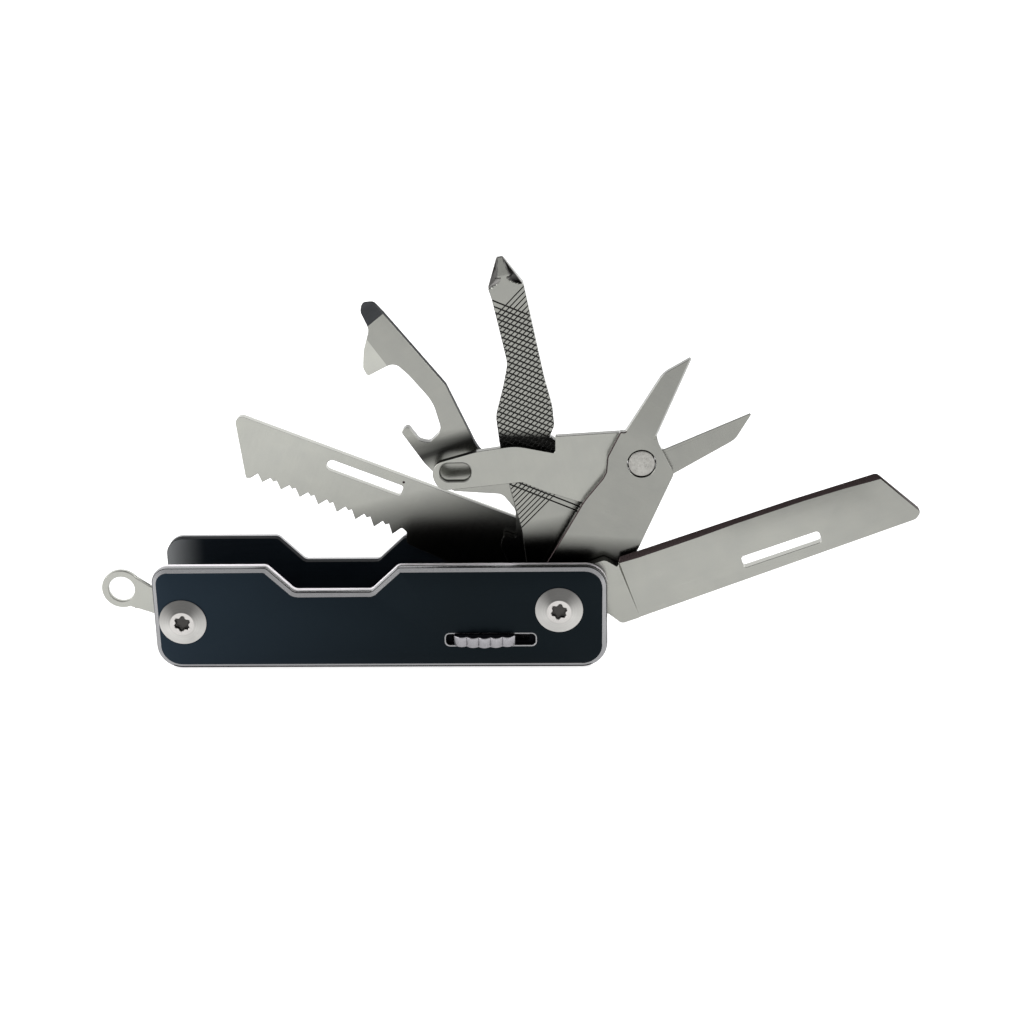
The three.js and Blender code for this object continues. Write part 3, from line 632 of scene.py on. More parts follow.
def scale_zone(outside):
    """Bright where the bevel and the slot's rim are cut, dyed elsewhere, with a dark line along the top
    and painted shade along the bottom and on the outer edge of the lower ends."""
    def zone(side, middle, spans):
        top = middle[:, 1] > 13
        if side == WALL:
            return np.where(top & (spans[0] < 0.05), 1, 2)
        if side != outside:
            return 0
        bright = spans[0] < 1.0
        if len(spans) > 3:
            bright = bright | (spans[3] < 0.26)
        line = top & (spans[0] > 0.16) & (spans[0] < 0.27)
        # Painted shade along the bottom and on the ends' outer edge, beside the dark line along the top.
        dull = line | (~top & (spans[0] < 0.1)) | ((spans[0] < 0.5) & (middle[:, 1] < 0.75))
        return np.where(dull, 2, np.where(bright, 1, 0))
    return zone


def add_scales():
    """The two cover plates. Only the front one has the slot of the lock."""
    holes = [circle(*PIVOT, SCALE_BORE, 32), circle(*TAIL, SCALE_BORE, 32)]
    slot = on_handle(slot_shape(SLOT["x"], SLOT["z"], SLOT["length"], SLOT["height"], 0.8))
    finish = [black, bevel_metal, black_side]
    plain = (SQUARE, SQUARE)
    front = plate("front_scale", handle_outline(), [*holes, slot], half_of("front_scale"), finish,
                  {0: (BEVEL, SQUARE), 1: plain, 2: plain, 3: (FLARE, SQUARE)}, zone=scale_zone(FRONT))
    fix(front, "black_plate", middle_of("front_scale"))
    rear = plate("rear_scale", handle_outline(), holes, half_of("rear_scale"), finish,
                 {0: (SQUARE, REAR_BEVEL), 1: plain, 2: plain}, zone=scale_zone(BACK))
    fix(rear, "black_plate", middle_of("rear_scale"))


def add_liners():
    pins = [on_handle(circle(*pin, PIN_BORE, 32)) for pin in PINS]
    holes = [circle(*PIVOT, LINER_BORE, 48), circle(*TAIL, LINER_BORE, 48), *pins]
    stem_slot = on_handle(slot_shape(SLOT["x"], SLOT["z"], 15.4, 1.7, 0.6))

    def zone(side, middle, spans):
        """Cut edges outside take the second finish, and the walls in the holes are painted with shade."""
        if side == WALL:
            return np.where(spans[0] < 0.05, 1, 2)
        return np.where(spans[0] < 0.1, 1, 0)

    def front_zone(side, middle, spans):
        """Also painted with shade where the cover's lock slot shows the liner."""
        if side != FRONT:
            return zone(side, middle, spans)
        return np.where(contains(stem_slot, middle) | (spans[-1] < shown), 2, zone(side, middle, spans))

    # How far round the stem slot the painted shade reaches.
    shown = 1.7
    front = plate("front_liner", handle_outline(), [*holes, stem_slot], half_of("front_liner"),
                  [liner_metal, liner_edge_painted_highlight, black_side],
                  {0: (SQUARE, LINER_CHAMFER), 5: ((*SQUARE, (shown, 0.0)), SQUARE)}, zone=front_zone)
    fix(front, "liner_steel", middle_of("front_liner"))
    rear = plate("rear_liner", handle_outline(), holes, half_of("rear_liner"),
                 [inner_painted_shade, painted_shade_edge, black_side], zone=zone)
    fix(rear, "black_plate", middle_of("rear_liner"))


def lobed(radius):
    """The radius of the six-lobed socket at each angle."""
    return lambda angles: radius * (0.865 + 0.135 * np.cos(6 * angles))


def screw_rings():
    """From the shank's end out to the head's rim, up its dished cone and down into the socket."""
    shank = [(0, -3.6), (1.0, -3.6), (1.2, -3.4), (1.2, 0.05)]
    rim = [(4.6, 0.05), (4.7, 0.12), (4.7, 0.22), (4.62, 0.26)]
    cone = [(4.62 - 2.1 * k / 8, 0.26 + 0.78 * k / 8) for k in range(1, 9)]
    flat = [(2.42, 1.08), (2.28, 1.1), (1.95, 1.1)]
    socket = [(lobed(1.78), 1.1), (lobed(1.62), 0.98), (lobed(1.6), 0.32), (lobed(1.3), 0.22)]
    return shank + rim + cone + flat + socket + [(0.4, 0.2), (0, 0.12)]


def upper_shade(way):
    """How much painted shade darkens a screw's cone towards its top, for the dark overhead that it reflects.
    """
    reach = math.hypot(way.x, way.z)
    if reach <= 2.4 * MM:
        return 0
    return 0.72 * min(1, max(0, (way.z / reach + 0.45) / 1.3)) ** 1.1


def add_screws():
    for end, centre in (("pivot", PIVOT), ("tail", TAIL)):
        for side, face in (("front", LAYERS["front_scale"][0]), ("rear", LAYERS["rear_scale"][1])):
            name = f"{side}_{end}_screw"
            screw = revolved(name, screw_rings(), [lobe_metal, socket_metal, cone_metal], 96, 15)
            for part in screw.data.polygons:
                reach = math.hypot(part.center.x, part.center.z) / MM
                # The socket is painted with shade.
                if reach < 1.62 and 0 < part.center.y < 1.05 * MM:
                    part.material_index = 1
                elif 2.5 < reach < 4.6 and part.center.y > 0.2 * MM:
                    part.material_index = 2
            flip = Matrix.Rotation(math.pi, 4, "Z") if side == "front" else Matrix.Identity(4)
            turned = flip @ swing(-98 if end == "tail" else 80)
            # Painted shade: each cone is darker towards its top, in its turned place.
            dull = [upper_shade(turned @ vertex.co) for vertex in screw.data.vertices]
            screw.data.attributes.new("dull", "FLOAT", "POINT").data.foreach_set("value", dull)
            screw.matrix_world = shift(centre, face) @ turned
            done(screw, "handle", "screw_steel")


def add_tube(name, centre, outer, front, back, material, slot):
    """A washer or a spacer with eased edges, round one of the axles."""
    half, ease = (back - front) / 2, 0.05
    rings = [
        (BORE, -half + ease), (BORE + ease, -half), (outer - ease, -half), (outer, -half + ease),
        (outer, half - ease), (outer - ease, half), (BORE + ease, half), (BORE, half - ease),
    ]
    fix(revolved(name, rings, [material], closed=True), slot, (front + back) / 2, centre)


def bar_rings(radius, half, bore=0.0):
    """A bar with eased ends, which may be bored for a screw."""
    ease, depth, point = 0.12, 2.6, 0.3
    ends = []
    for sign in (-1, 1):
        end = [(radius, sign * (half - ease)), (radius - ease, sign * half)]
        if bore:
            end += [(bore, sign * half), (bore, sign * (half - depth)), (0, sign * (half - depth - point))]
        else:
            end += [(0, sign * half)]
        ends.append(end)
    return ends[0][::-1] + ends[1]


def add_axles_and_washers():
    front, back = LAYERS["front_liner"][0], LAYERS["rear_liner"][1]
    half = (back - front) / 2
    for name, centre in (("pivot_axle", PIVOT), ("tail_axle", TAIL)):
        fix(revolved(name, bar_rings(AXLE, half, SCREW_BORE), [axle_metal]), "spring_steel", 0, centre)
    for name, pin in zip(("mid_spring_pin", "tail_spring_pin"), PINS):
        made = revolved(name, bar_rings(PIN, half), [axle_metal], 48)
        fix(made, "spring_steel", 0, (PIVOT[0] + pin[0], PIVOT[1] + pin[1]))
    in_front = {
        "knife_front": "front_liner", "knife_rear": "knife", "scissor_rear": "scissor_lever",
        "file_rear": "file", "opener_rear": "opener", "saw_rear": "saw",
    }
    for name, layer in in_front.items():
        start = LAYERS[layer][1] + 0.05
        add_tube(name + "_washer", PIVOT, 4.4, start, start + 0.2, bronze_metal, "bronze")
    lever, tab_back = LAYERS["scissor_lever"], LAYERS["knife"][1]
    spacers = {
        "lever_layer": (PIVOT, 3.4, lever[0] + 0.04, lever[1] - 0.04),
        "tail_front": (TAIL, 3.6, LAYERS["front_liner"][1] + 0.05, tab_back - TAB["thickness"] - 0.1),
        "tail_rear": (TAIL, 3.6, tab_back + 0.1, LAYERS["rear_liner"][0] - 0.05),
    }
    for name, sizes in spacers.items():
        add_tube(name + "_spacer", *sizes, axle_metal, "spring_steel")


def spring_outline():
    """A bar along the handle's bottom with a raised end that presses on the tang."""
    bottom, press, right = -PIVOT[1], -6.2, 7.8
    return outline([
        (SPRING_LEFT, bottom, 1.6), (right - 3.4, bottom, 1.0), (right, bottom + 2.4, 1.0),
        (right - 1.6, press, 0.6), (1.4, press, 0.6), (0.2, SPRING_TOP, 1.2), (SPRING_LEFT, SPRING_TOP, 1.6),
    ])


def add_springs():
    left, right, bottom, top = SPRING_LEFT, -42, -PIVOT[1], SPRING_TOP
    block = outline([(left, bottom, 1.6), (right, bottom, 1.6), (right, top, 1.6), (left, top, 1.6)])
    layers = {
        "knife_back_spring": "knife", "scissor_back_spring": "scissor_plate", "file_back_spring": "file",
        "opener_back_spring": "opener", "saw_back_spring": "saw", "spring_spacer": "scissor_lever",
    }
    holes = [circle(*pin, PIN_BORE, 32) for pin in PINS]
    for name, layer in layers.items():
        shape = block if name == "spring_spacer" else spring_outline()
        made = plate(name, shape, holes, half_of(layer), [spring_metal])
        fix(made, "spring_steel", middle_of(layer), PIVOT)


# ---- tools, drawn folded about their pivot, with the tip to the left ----

# The last corners of every tang's back, and the hole that the axle goes through.
TANG_BACK = [(-8.3, 5.4, 1.2), (-4, 4.2), (0, 3)]
PIVOT_HOLE = circle(0, 0, BORE)


def finger_slot(x, z, round_end):
    """The slot that a fingernail opens a blade by."""
    length, height, square_end = 16, 2.4, 0.6
    return slot_shape(x, z, length, height, round_end, square_end)


def open_tool(made, layer, body):
    """Opens a tool on the pivot axle, in its own layer."""
    done(place(made, PIVOT, middle_of(layer), OPEN[body]), body, "blade_steel")


def with_boss(corners):
    """A tool's outline with the round of its tang."""
    return union(wound(outline(corners), True), circle(0, 0, TANG, 96))


def level(x, knots):
    """The height at x of a line through the knots."""
    knots = sorted(knots)
    return np.interp(x, [k[0] for k in knots], [k[1] for k in knots])


def add_knife():
    half = half_of("knife")
    outer = with_boss([
        (0, -TANG), (-7.5, -5.5, 2), (-11.6, -5.6, 1.2), (-13.5, -3.2, 0.4), (-14.6, -4.72, 0.2),
        (-50, -4.47, 60), (-66.85, -4.0, 1.3), (-72.75, 6.2, 1.2), (-71.2, 7.45, 1.4), (-13.5, 8.5),
        (-10.2, 8.5, 1.2), *TANG_BACK,
    ])
    edge = [(-14.6, -4.72), (-50, -4.47), (-66.85, -4.0), (-68, -3.95)]
    ground = [
        (-14.3, -3.6), (-18, -3.42), (-30, -3.42), (-38, -3.58), (-52, -3.5), (-60, -3.2), (-67.2, -2.7),
    ]
    tip = ((-66.85, -4.0), (-72.75, 6.2))
    run, across = directions(*tip)
    tip_width, left_over, plunge = 0.34, 0.03, -13.75
    tip_line = [tuple(np.array(p) + across * tip_width + run * k) for p, k in zip(tip, (-1.2, 3))]

    def wedge(z):
        """Half the blade's thickness on its flat, from the edge up to the back."""
        at_edge, more_at_back, bottom, height = 0.34, 0.76, -4.7, 13.2
        return at_edge + more_at_back * np.clip((z - bottom) / height, 0, 1)

    def base(side, x, z):
        stripe = level(x, ground)
        low = level(x, edge)
        depth = np.clip((z - low) / np.maximum(stripe - low, 0.05), 0, 1)
        thin = left_over + (wedge(stripe) - left_over) * depth
        blade = np.where(z < stripe, thin, wedge(z))
        to_tip = along_way(x, z, tip[0], across)
        blade = np.minimum(blade, left_over + np.clip(to_tip / tip_width, 0, 1) * 0.9)
        return half + (blade - half) * np.clip((plunge - x) / 0.3, 0, 1)

    def zone(side, middle, spans):
        if side == WALL:
            return 0
        x, z = middle[:, 0], middle[:, 1]
        # Painted reflection: the sharpened edge and the tip's bevel are near-black.
        sharpened = (z < level(x, ground)) & (x < plunge - 0.35)
        at_tip = (along_way(x, z, tip[0], across) < tip_width) & (x < -60)
        return np.where(sharpened | at_tip, 1, 0)

    lines = [
        [(plunge, -FAR), (plunge, FAR)], [(-14.05, -FAR), (-14.05, FAR)], ground, tip_line,
        [(-14.3, -3.6), (-13.7, -3.65)],
    ]
    made = plate("knife_blade", outer, [PIVOT_HOLE, finger_slot(-44.8, 4.45, 0.7)], half,
                 [knife_metal, painted_shade_metal], base=base, lines=lines, zone=zone)
    open_tool(made, "knife", "knife")


def open_scissors():
    return shift(PIVOT) @ swing(OPEN["scissors"])


def edge_base(half, start, end, width, left_over, ground_side):
    """The half thickness of a plate with one ground edge, metal to the right of start to end, and the
    lines round the ground part."""
    run, across = directions(start, end)
    before, beyond = 1.0, 0.6

    def base(side, x, z):
        if side != ground_side:
            return np.full(len(x), half)
        away = along_way(x, z, start, across)
        along = along_way(x, z, start, run)
        span = np.linalg.norm(np.array(end) - np.array(start))
        on = (along > -before) & (along < span + beyond)
        thin = left_over - half + np.clip(away / width, 0, 1) * (2 * half - left_over)
        return np.where(on, np.minimum(half, thin), half)

    top = [tuple(start + across * width - run * before), tuple(end + across * width + run * beyond)]
    stop = [tuple(end + run * beyond + across * k) for k in (-0.5, width)]
    return base, [top, stop]


def add_scissor_plate():
    half = half_of("scissor_plate")
    tip, crook = (-55.9, -2.95), (-38.7, -0.6)
    outer = with_boss([
        (0, -TANG), (-20.4, -6.2, 12), (-26.2, -5.4, 1.2), (-27.6, -5.5, 1.2), (-30.5, -6.9, 2),
        (-36.1, -7.3, 0.3), (-36.5, -6.45, 0.5), (-50.1, -6.2, 5), (*tip, 0.3), (*crook, 0.3),
        (-37.7, 0.4, 0.8), (-34.1, 6.1, 1.5), (-16.9, 8.2, 8), (-9.9, 8.2, 1.2), *TANG_BACK,
    ])
    # How wide the painted shadow along the long edge is.
    shear = 0.24
    base, lines = edge_base(half, tip, crook, 0.5, 0.5, FRONT)

    def zone(side, middle, spans):
        """A painted shadow along this half's long edge, where it slides over the other half."""
        if side != FRONT:
            return 0
        return np.where((spans[0] < shear) & (middle[:, 1] < -4.5) & (middle[:, 0] > -37), 1, 0)

    made = plate("scissor_plate", outer, [PIVOT_HOLE, circle(*RIVET, 2.82)], half, [plate_metal, painted_shade_metal],
                 {0: ((*RIM, (shear, 0.0)), RIM)}, base, lines, zone=zone)
    open_tool(made, "scissor_plate", "scissors")


def add_scissor_lever():
    half = half_of("scissor_lever")
    tip, root = (-23.2, -3.3), (-4.8, -1.0)
    outer = outline([
        (40, -11.2, 2.7), (30, -11.15, 12), (22.6, -10.1, 10), (15.6, -6.4, 0.5), (14.6, -9.7, 0.3),
        (2.5, -6.9, 2), (-1.0, -5.3, 1.5), (*root, 0.3), (*tip, 0.2), (-18.6, 1.0, 4), (-5.4, 4.3, 3),
        (2, 5.9, 5), (8.5, 6.4, 4), (14.0, 4.6, 4), (19.8, 0.6, 4), (23.6, -2.6, 1.5), (40, -5.6, 2.7),
    ])
    thumb = slot_shape(0, 0, 6.2, 3.6, 1.75)
    c, s = math.cos(math.radians(16)), math.sin(math.radians(16))
    thumb = np.stack([c * thumb[:, 0] + s * thumb[:, 1] + 35.5, -s * thumb[:, 0] + c * thumb[:, 1] - 8.3], 1)
    pocket, pocket_depth = 4.5, 0.8
    ground, lines = edge_base(half, root, tip, 0.6, 0.5, BACK)

    def base(side, x, z):
        """A pocket for the spring ring is sunk round the rivet."""
        thick = ground(side, x, z)
        if side == FRONT:
            thick = thick - pocket_depth * (1 - np.clip((np.hypot(x, z) - pocket) / 0.04, 0, 1))
        return thick

    lines += [closed_line(circle(0, 0, radius)) for radius in (pocket, pocket + 0.04)]
    soft = ((0.0, 0.35), (0.1, 0.12), (0.3, 0.0))
    made = plate("scissor_lever", outer, [circle(0, 0, 2.73), thumb], half, [lever_metal],
                 rims={2: (soft, soft)}, base=base, lines=lines)
    place(made, RIVET, middle_of("scissor_lever"), OPEN["lever"], open_scissors())
    done(made, "scissor_lever_half", "blade_steel")


def add_scissor_rivet():
    front, back = LAYERS["scissor_plate"][0], LAYERS["scissor_lever"][1]
    rings = [(0, front + 0.02), (1.0, front), (2.3, front + 0.01), (2.5, front + 0.05), (2.62, front + 0.16)]
    rings += [(2.65, front + 0.3), (2.65, back - 0.3), (2.6, back - 0.1), (2.4, back), (0, back)]
    rivet = revolved("scissor_rivet", rings, [rivet_metal], 72, 50)
    done(place(rivet, RIVET, 0, outer=open_scissors()), "scissors", "blade_steel")


def add_scissor_spring():
    """An open ring round the rivet, in the lever's pocket."""
    outer, inner, half, gap = 4.2, 3.3, 0.3, math.asin(0.9 / 3.75)
    angles = np.linspace(gap, 2 * math.pi - gap, 80)
    arc = np.stack([np.cos(angles), np.sin(angles)], 1)
    ring = np.concatenate([arc * outer, arc[::-1] * inner])
    spring = plate("scissor_spring", ring, [], half, [spring_metal])
    middle = LAYERS["scissor_lever"][0] + 0.1 + half
    done(place(spring, RIVET, middle, outer=open_scissors()), "scissors", "spring_steel")


FILE_CUTS = (
    # direction in degrees, first and last distance from the pivot, how many
    (57.0, 17.45, 50.6, 34),
    (126.5, 14.9, 47.9, 43),
)


def cut_ways(direction):
    """The unit vectors along a set of the file's cuts and across them."""
    c, s = math.cos(math.radians(direction)), math.sin(math.radians(direction))
    return np.array([c, s]), np.array([-s, c])


def add_file():
    half = half_of("file")
    outer = with_boss([
        (0, -TANG), (-14.3, -4.9, 8), (-22, -5.5, 12), (-32.8, -5.85, 12), (-38.6, -5.5, 5), (-44.1, -3.0, 6),
        (-48.6, -1.25, 6), (-61.5, -1.8, 1), (-63.9, -2.1, 0.8), (-69.3, 0.55, 0.5), (-69.3, 1.75, 0.5),
        (-63.5, 4.7, 0.9), (-44.8, 5.2, 10), (-38.5, 5.7, 8), (-34.6, 5.35, 0.6), (-32.5, 4.0, 0.4),
        (-31.2, 5.55, 0.4), (-30.2, 5.5, 0.4), (-29.9, 4.2, 0.3), (-27.5, 8.0, 1.5), (-9.8, 8.2, 1.2),
        *TANG_BACK,
    ])
    widths, depth = (0.15, 0.115), 0.16
    fluted = -62.0
    lines = []
    for (direction, first, last, count), groove in zip(FILE_CUTS, widths):
        along, across = cut_ways(direction)
        for k in range(count * 3):
            away = first + (last - first) * (k // 3) / (count - 1) + (k % 3 - 1) * groove
            points = across * away + np.linspace(-60, 60, 961)[:, None] * along
            inside = np.nonzero(contains(outer, points))[0]
            if len(inside) > 1:
                lines.append([tuple(points[inside[0] - 1]), tuple(points[inside[-1] + 1])])

    def grooves(x, z):
        cutaway = np.zeros(len(x))
        for (direction, first, last, count), groove in zip(FILE_CUTS, widths):
            away = np.stack([x, z], 1) @ cut_ways(direction)[1]
            pitch = (last - first) / (count - 1)
            nearest = np.clip(np.round((away - first) / pitch), 0, count - 1) * pitch + first
            shape = np.clip(1 - np.abs(away - nearest) / groove, 0, 1)
            cutaway = np.maximum(cutaway, shape * depth)
        return cutaway

    def flutes(x, z):
        """Two scooped flutes that widen away from the cross-head's point."""
        shoulder, widest, deepest = -65.4, 2.1, 0.95
        level_at = np.full(len(x), half)
        for slope in (-1, 1):
            axis_z = 1.2 + slope * (0.35 + (x + 69.6) * 0.52)
            reach = np.clip((x + 69.8) * 0.33, 0.05, 2.2)
            round_end = np.sqrt(np.maximum(widest**2 - ((x - shoulder) * 1.25) ** 2, 0.0))
            reach = np.where(x > shoulder, round_end, reach)
            off = np.abs(z - axis_z) / np.maximum(reach, 0.05)
            deep = np.clip(1 - off**2, 0, 1) * np.clip((x + 70.2) * 0.35, 0, 1.0) * (reach > 0.06)
            level_at = np.minimum(level_at, half - deepest * deep)
        return level_at

    def base(side, x, z):
        thick = half - grooves(x, z)
        thick = np.where(x < fluted, np.minimum(thick, flutes(x, z)), thick)
        taper = 0.5 + (half - 0.5) * np.clip((x + 69.4) / 3.6, 0, 1)
        return np.minimum(thick, taper)

    spread = np.mgrid[-69.6:-61.8:0.24, -2.4:5.0:0.24].reshape(2, -1).T
    spread = spread[contains(outer, spread)]
    spread = spread[distance_to(outer, spread) > 0.16]

    def zone(side, middle, spans):
        if side == WALL:
            return 0
        x, z = middle[:, 0], middle[:, 1]
        # Painted shade in the cuts and in the scooped flutes.
        scooped = (x < fluted) & (flutes(x, z) < half - 0.06)
        return np.where(grooves(x, z) > 0.25 * depth, 1, np.where(scooped, 2, 0))

    rim = ((0.0, 0.12), (0.12, 0.0))
    made = plate("file_driver", outer, [PIVOT_HOLE], half, [file_metal, groove_metal, flute_metal],
                 {0: (rim, rim)}, base, lines, spread, zone)
    open_tool(made, "file", "file")


def add_opener():
    half = half_of("opener")
    outer = with_boss([
        (0, -TANG), (-8, -5.4, 2), (-14.3, -3.6, 1.0), (-15.9, -1.3, 0.8), (-13.4, -0.2, 0.5),
        (-18.4, 3.8, 2), (-22.6, 3.9, 2), (-29.3, -3.3, 1.5), (-37.4, -3.9, 1.2), (-45.4, -3.2, 0.8),
        (-45.3, -1.4, 0.7), (-41.6, -1.6, 1.2), (-40.0, -0.4, 1.0), (-40.3, 3.2, 2.4), (-46.0, 5.7, 9),
        (-53.0, 5.6, 5),
        (-56.9, 5.1, 2.2), (-57.8, -1.1, 0.5), (-59.6, -0.7, 1.5), (-62.3, 1.9, 8), (-64.9, 5.7, 2.5),
        (-68.5, 6.5, 1.5), (-69.7, 7.9, 1.0), (-68.4, 9.8, 1.2), (-46.9, 9.8, 2), (-32.6, 6.1, 8),
        (-22.5, 8.3, 6), (-9.8, 8.2, 1.2), *TANG_BACK,
    ])
    facet = [(-56.6, 3.55), (-64.4, 4.05)]
    across = directions(*facet)[1]
    tip, tip_end = -65.5, -68.5

    def below(x, z):
        return along_way(x, z, facet[0], across)

    def base(side, x, z):
        """The screwdriver tip tapers and the beak is ground from the front."""
        thick = half - 0.65 * np.clip((tip - x) / (tip - tip_end), 0, 1)
        if side == FRONT:
            thick = np.minimum(thick, half - np.clip(below(x, z) * -0.28, 0, 1.3) * (x < facet[0][0]))
        return thick

    def zone(side, middle, spans):
        x, z = middle[:, 0], middle[:, 1]
        # Painted shade on the tip and on the top wall of the spine.
        if side == WALL:
            return np.where((z > 5.5) & (x < -24), 3, 0)
        ground = (side == FRONT) & (below(x, z) < 0) & (x < facet[0][0])
        return np.where(x < tip, 1, np.where(ground, 2, 0))

    lines = [[(tip, -FAR), (tip, FAR)], [(tip_end, -FAR), (tip_end, FAR)], facet]
    made = plate("can_opener", outer, [PIVOT_HOLE], half, [opener_metal, tip_metal, beak_metal, painted_shade_edge],
                 base=base, lines=lines, zone=zone)
    open_tool(made, "opener", "opener")


SAW_FIRST = (-35.3, -2.75)
SAW_PITCH = 4.02
SAW_TEETH = 8
SAW_DOT = (-36.95, 8.6)


def add_saw():
    half = half_of("saw")
    rise = 0.85 / (SAW_PITCH * (SAW_TEETH - 1))
    bottom = [(-8, -5.2), (-31.8, -3.6, 1.0), (-32.8, -1.2, 0.6), (-34.0, -0.7, 0.5)]
    for i in range(SAW_TEETH):
        x = SAW_FIRST[0] - i * SAW_PITCH
        z = SAW_FIRST[1] + i * SAW_PITCH * rise
        deeper = 0.45 * (1 - i / (SAW_TEETH - 1))
        bottom += [(x, z, 0.08), (x - 1.4, z + 1.45 + deeper, 0.1)]
        if i < SAW_TEETH - 1:
            bottom += [(x - 2.0, z + 0.95 + deeper, 0.08), (x - 2.75, z + 1.55 + deeper, 0.15)]
    outer = with_boss([
        (0, -TANG), *bottom, (-65.9, -1.9, 0.3), (-66.75, -2.3, 0.4), (-73.3, 9.75, 1.3), (-31.0, 9.75, 20),
        (-9.8, 9.8, 1.2), *TANG_BACK,
    ])

    def in_dot(side, x, z):
        return (np.hypot(x - SAW_DOT[0], z - SAW_DOT[1]) < 0.24) & (side == FRONT)

    def base(side, x, z):
        """Every other tooth is ground on the back, and the dot is punched into the front."""
        root = -0.9 + (SAW_FIRST[0] - x) * rise
        number = np.floor((SAW_FIRST[0] + 0.9 - x) / SAW_PITCH)
        mine = (side == BACK) & (number % 2 == 1) & (x < -33.5) & (x > -66.2)
        mark = 0.12 * in_dot(side, x, z)
        return np.where(mine, half - np.clip((root - z) / 2.0, 0, 1) * 0.3, half - mark)

    # The punched dot is painted with shade.
    def zone(side, middle, spans):
        return np.where(in_dot(side, middle[:, 0], middle[:, 1]), 1, 0)

    lines = [[(-33.5, -0.9), (-66.9, -0.9 + 33 * rise)]]
    lines += [closed_line(circle(*SAW_DOT, radius, 16)) for radius in (0.22, 0.26)]
    for i in range(SAW_TEETH + 1):
        x = SAW_FIRST[0] + 0.9 - i * SAW_PITCH
        lines.append([(x, -5), (x, -0.5)])
    made = plate("saw_blade", outer, [PIVOT_HOLE, finger_slot(-44.6, 6.6, 1.15)], half,
                 [saw_metal, painted_shade_metal], {i: (SHALLOW, SHALLOW) for i in (0, 2)}, base, lines, zone=zone)
    open_tool(made, "saw", "saw")


def add_lanyard_tab():
    arm = outline([
        (-13.2, 1.2, 4), (-10.0, 1.0, 4), (-6.0, -0.4, 4), (-2.5, -3.2), (3.2, -1.5), (1.5, 3.6),
        (-7.0, 5.8, 1), (-11.0, 8.6), (-13.6, 7.4),
    ])
    outer = union(wound(arm, True), circle(0, 0, TAB["eye"]), circle(*TAB["ring"], TAB["outer"]))
    half = TAB["thickness"] / 2
    soft = ((0.0, 0.22), (0.08, 0.08), (0.22, 0.0))
    made = plate("lanyard_tab", outer, [PIVOT_HOLE, circle(*TAB["ring"], TAB["hole"])], half, [tab_metal],
                 rims={0: (soft, soft), 2: (soft, soft)})
    done(place(made, TAIL, LAYERS["knife"][1] - half), "lanyard", "blade_steel")


def add_thumb_slider():
    """The ridges are drawn in X and Y, and the plate that they make is then turned up to lie across Z."""
    face, back = LAYERS["front_scale"]
    half_length, rise, ridges, ridge_height, steps = 6.0, 1.9, 5, 0.55, 16
    points = []
    for i in range(ridges * steps + 1):
        along = i / (ridges * steps) * 2 - 1
        crown = rise * (1 - 0.5 * along * along)
        ripple = ridge_height * abs(math.sin(i / steps * math.pi))
        points.append((along * half_length, face - crown - ripple + 0.5))
    points += [(half_length, back - 0.05), (-half_length, back - 0.05)]

    def zone(side, middle, spans):
        # Painted reflection: the faces across Z are black except near their rims, for the dark that the top
        # reflects.
        return 0 if side == WALL else np.where(spans[0] < 0.1, 0, 1)

    soft = ((0.0, 0.14), (0.05, 0.04), (0.14, 0.0))
    button = plate("thumb_slider", wound(np.array(points), True), [], 1.05, [slider_metal, black_side],
                   rims={0: (soft, soft)}, zone=zone)
    for vertex in button.data.vertices:
        x, y, z = vertex.co
        vertex.co = (x, z, -y)
    button.data.update()
    done(place(button, (PIVOT[0] + SLIDER_X, PIVOT[1] + SLOT["z"]), 0), "lock", "screw_steel")


def add_lock():
    """The button's stem through the liner and the bar beside the knife's tang."""
    stem = plate("slider_stem", slot_shape(SLIDER_X, SLOT["z"], 8, 1.5, 0.5), [], 0.76, [spring_metal])
    done(place(stem, PIVOT, middle_of("front_liner")), "lock", "spring_steel")
    shape = outline([
        (-24, -8.5, 0.6), (-7.2, -8.5, 0.3), (-7.2, -7.9, 0.3), (-9.5, -6.9, 0.6), (-10.6, -5.7, 0.4),
        (-19, -5.7, 0.6), (-20, -6.9, 0.6), (-24, -6.9, 0.6),
    ])
    bar = plate("lock_bar", shape, [], 1.0, [spring_metal])
    done(place(bar, PIVOT, middle_of("knife")), "lock", "spring_steel")


add_scales()
add_liners()
add_screws()
add_axles_and_washers()
add_springs()
add_knife()
add_scissor_plate()
add_scissor_lever()
add_scissor_rivet()
add_scissor_spring()
add_file()
add_opener()
add_saw()
add_lanyard_tab()
add_thumb_slider()
add_lock()

# ---- stage, light and camera ----


def add_floor():
    reach = 6.0
    made = mesh_object("floor", np.array([
        (-reach, -reach, 0), (reach, -reach, 0), (reach, reach, 0), (-reach, reach, 0),
    ]) / MM, [(0, 1, 2, 3)], [floor_paint()])


def floor_paint():
    """White paper that also glows a little, so that no shadow greys it."""
    made, n = start_material("floor_paint")
    cloud = n.noise(n.spot(), 1.5, 2.0)
    tone = n.mix(cloud, (0.74, 0.74, 0.74), (0.76, 0.76, 0.76))
    shader = n.add("ShaderNodeBsdfPrincipled", Base_Color=tone, Roughness=0.9)
    shader.inputs["Specular IOR Level"].default_value = 0.0
    shader.inputs["Emission Color"].default_value = (1.0, 1.0, 1.0, 1.0)
    shader.inputs["Emission Strength"].default_value = 0.64
    n.add("ShaderNodeOutputMaterial", Surface=shader.outputs[0])
    return made


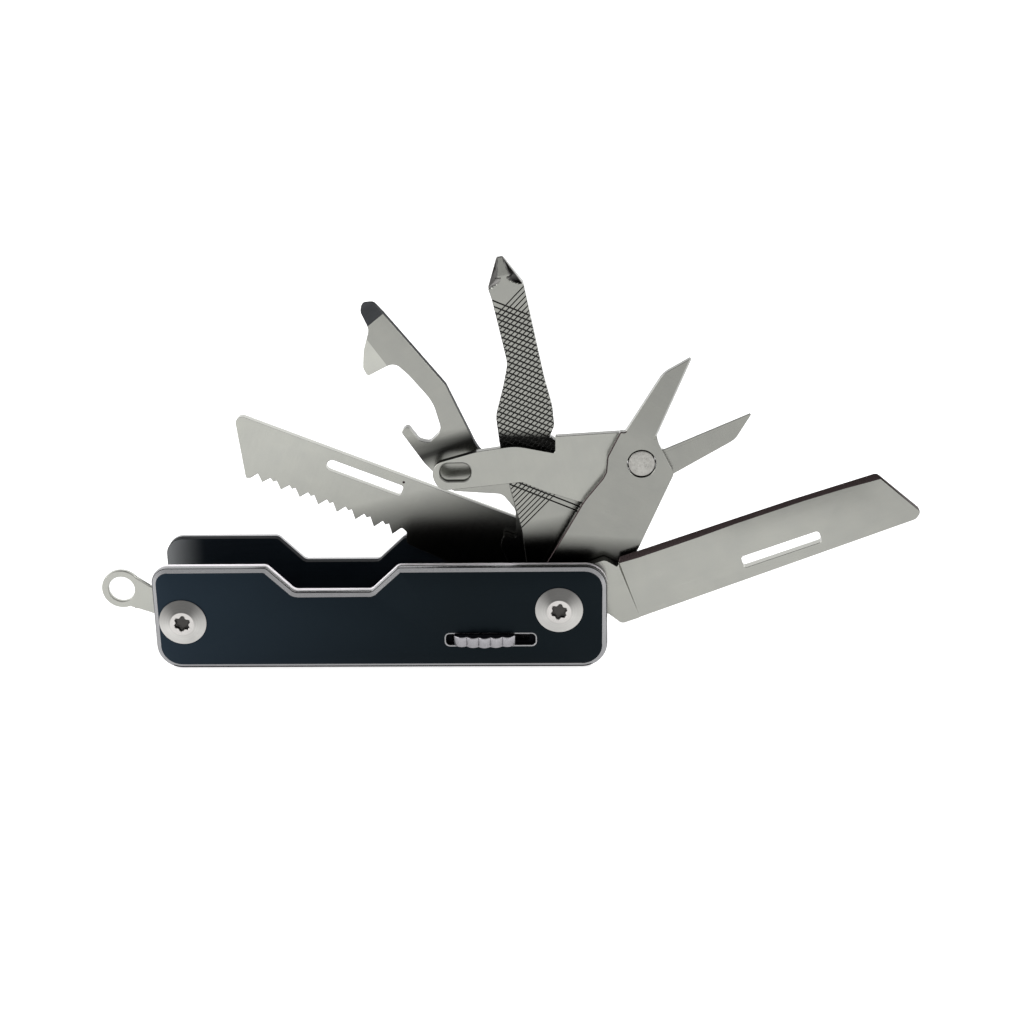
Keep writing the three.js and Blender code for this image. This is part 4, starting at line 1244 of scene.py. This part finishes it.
def add_world():
    """A soft studio: bright low down all round, darker overhead in front."""
    world = bpy.data.worlds.new("studio")
    bpy.context.scene.world = world
    world.use_nodes = True
    n = Nodes(world.node_tree)
    way = n.add("ShaderNodeTexCoord").outputs["Generated"]
    parts = n.add("ShaderNodeSeparateXYZ", Vector=way)
    up, away = parts.outputs[2], parts.outputs[1]
    front = n.ramp(up, (0.60, 0.95), (0.80, 0.03))
    rear = n.ramp(up, (0.80, 1.45), (0.97, 0.2))
    behind = n.ramp(away, (-0.3, 0.0), (0.3, 1.0))
    level_of = n.math("ADD", n.math("MULTIPLY", behind, n.math("SUBTRACT", rear, front)), front)
    back = n.add("ShaderNodeBackground", Color=(1.0, 1.0, 1.0, 1.0), Strength=level_of)
    n.add("ShaderNodeOutputWorld", Surface=back.outputs[0])


def add_light(name, spot, aim, size, power):
    data = bpy.data.lights.new(name, "AREA")
    data.shape = "RECTANGLE"
    data.size, data.size_y = size
    data.energy = power
    light = bpy.data.objects.new(name, data)
    bpy.context.scene.collection.objects.link(light)
    light.location = spot
    light.rotation_mode = "QUATERNION"
    light.rotation_quaternion = (Vector(aim) - Vector(spot)).to_track_quat("-Z", "Y")


def add_camera():
    """Aimed as in the reference view: a little to the right, looking down by about 20 degrees."""
    spot = Vector((0.03667, -0.33947, 0.15663))
    turn, rise, roll = (math.radians(a) for a in (1.761, 20.5, -0.93))
    right = Vector((math.cos(turn), math.sin(turn), 0))
    back = Vector((math.sin(turn) * math.cos(rise), -math.cos(turn) * math.cos(rise), math.sin(rise)))
    up = back.cross(right)
    right, up = right * math.cos(roll) + up * math.sin(roll), up * math.cos(roll) - right * math.sin(roll)
    data = bpy.data.cameras.new("camera")
    data.sensor_width = 36
    data.lens = 64.14
    data.clip_start = 0.01
    camera = bpy.data.objects.new("camera", data)
    bpy.context.scene.collection.objects.link(camera)
    camera.matrix_world = Matrix((
        (right.x, up.x, back.x, spot.x), (right.y, up.y, back.y, spot.y), (right.z, up.z, back.z, spot.z),
        (0, 0, 0, 1),
    ))
    bpy.context.scene.camera = camera


add_floor()
add_world()
add_light("left", (-1.2, -0.2, 0.55), (0, 0, 0.03), (1.0, 0.7), 9)
add_light("right", (1.25, 0.1, 0.6), (0, 0, 0.03), (1.0, 0.7), 8)
add_camera()
bpy.context.scene.view_settings.view_transform = "Standard"
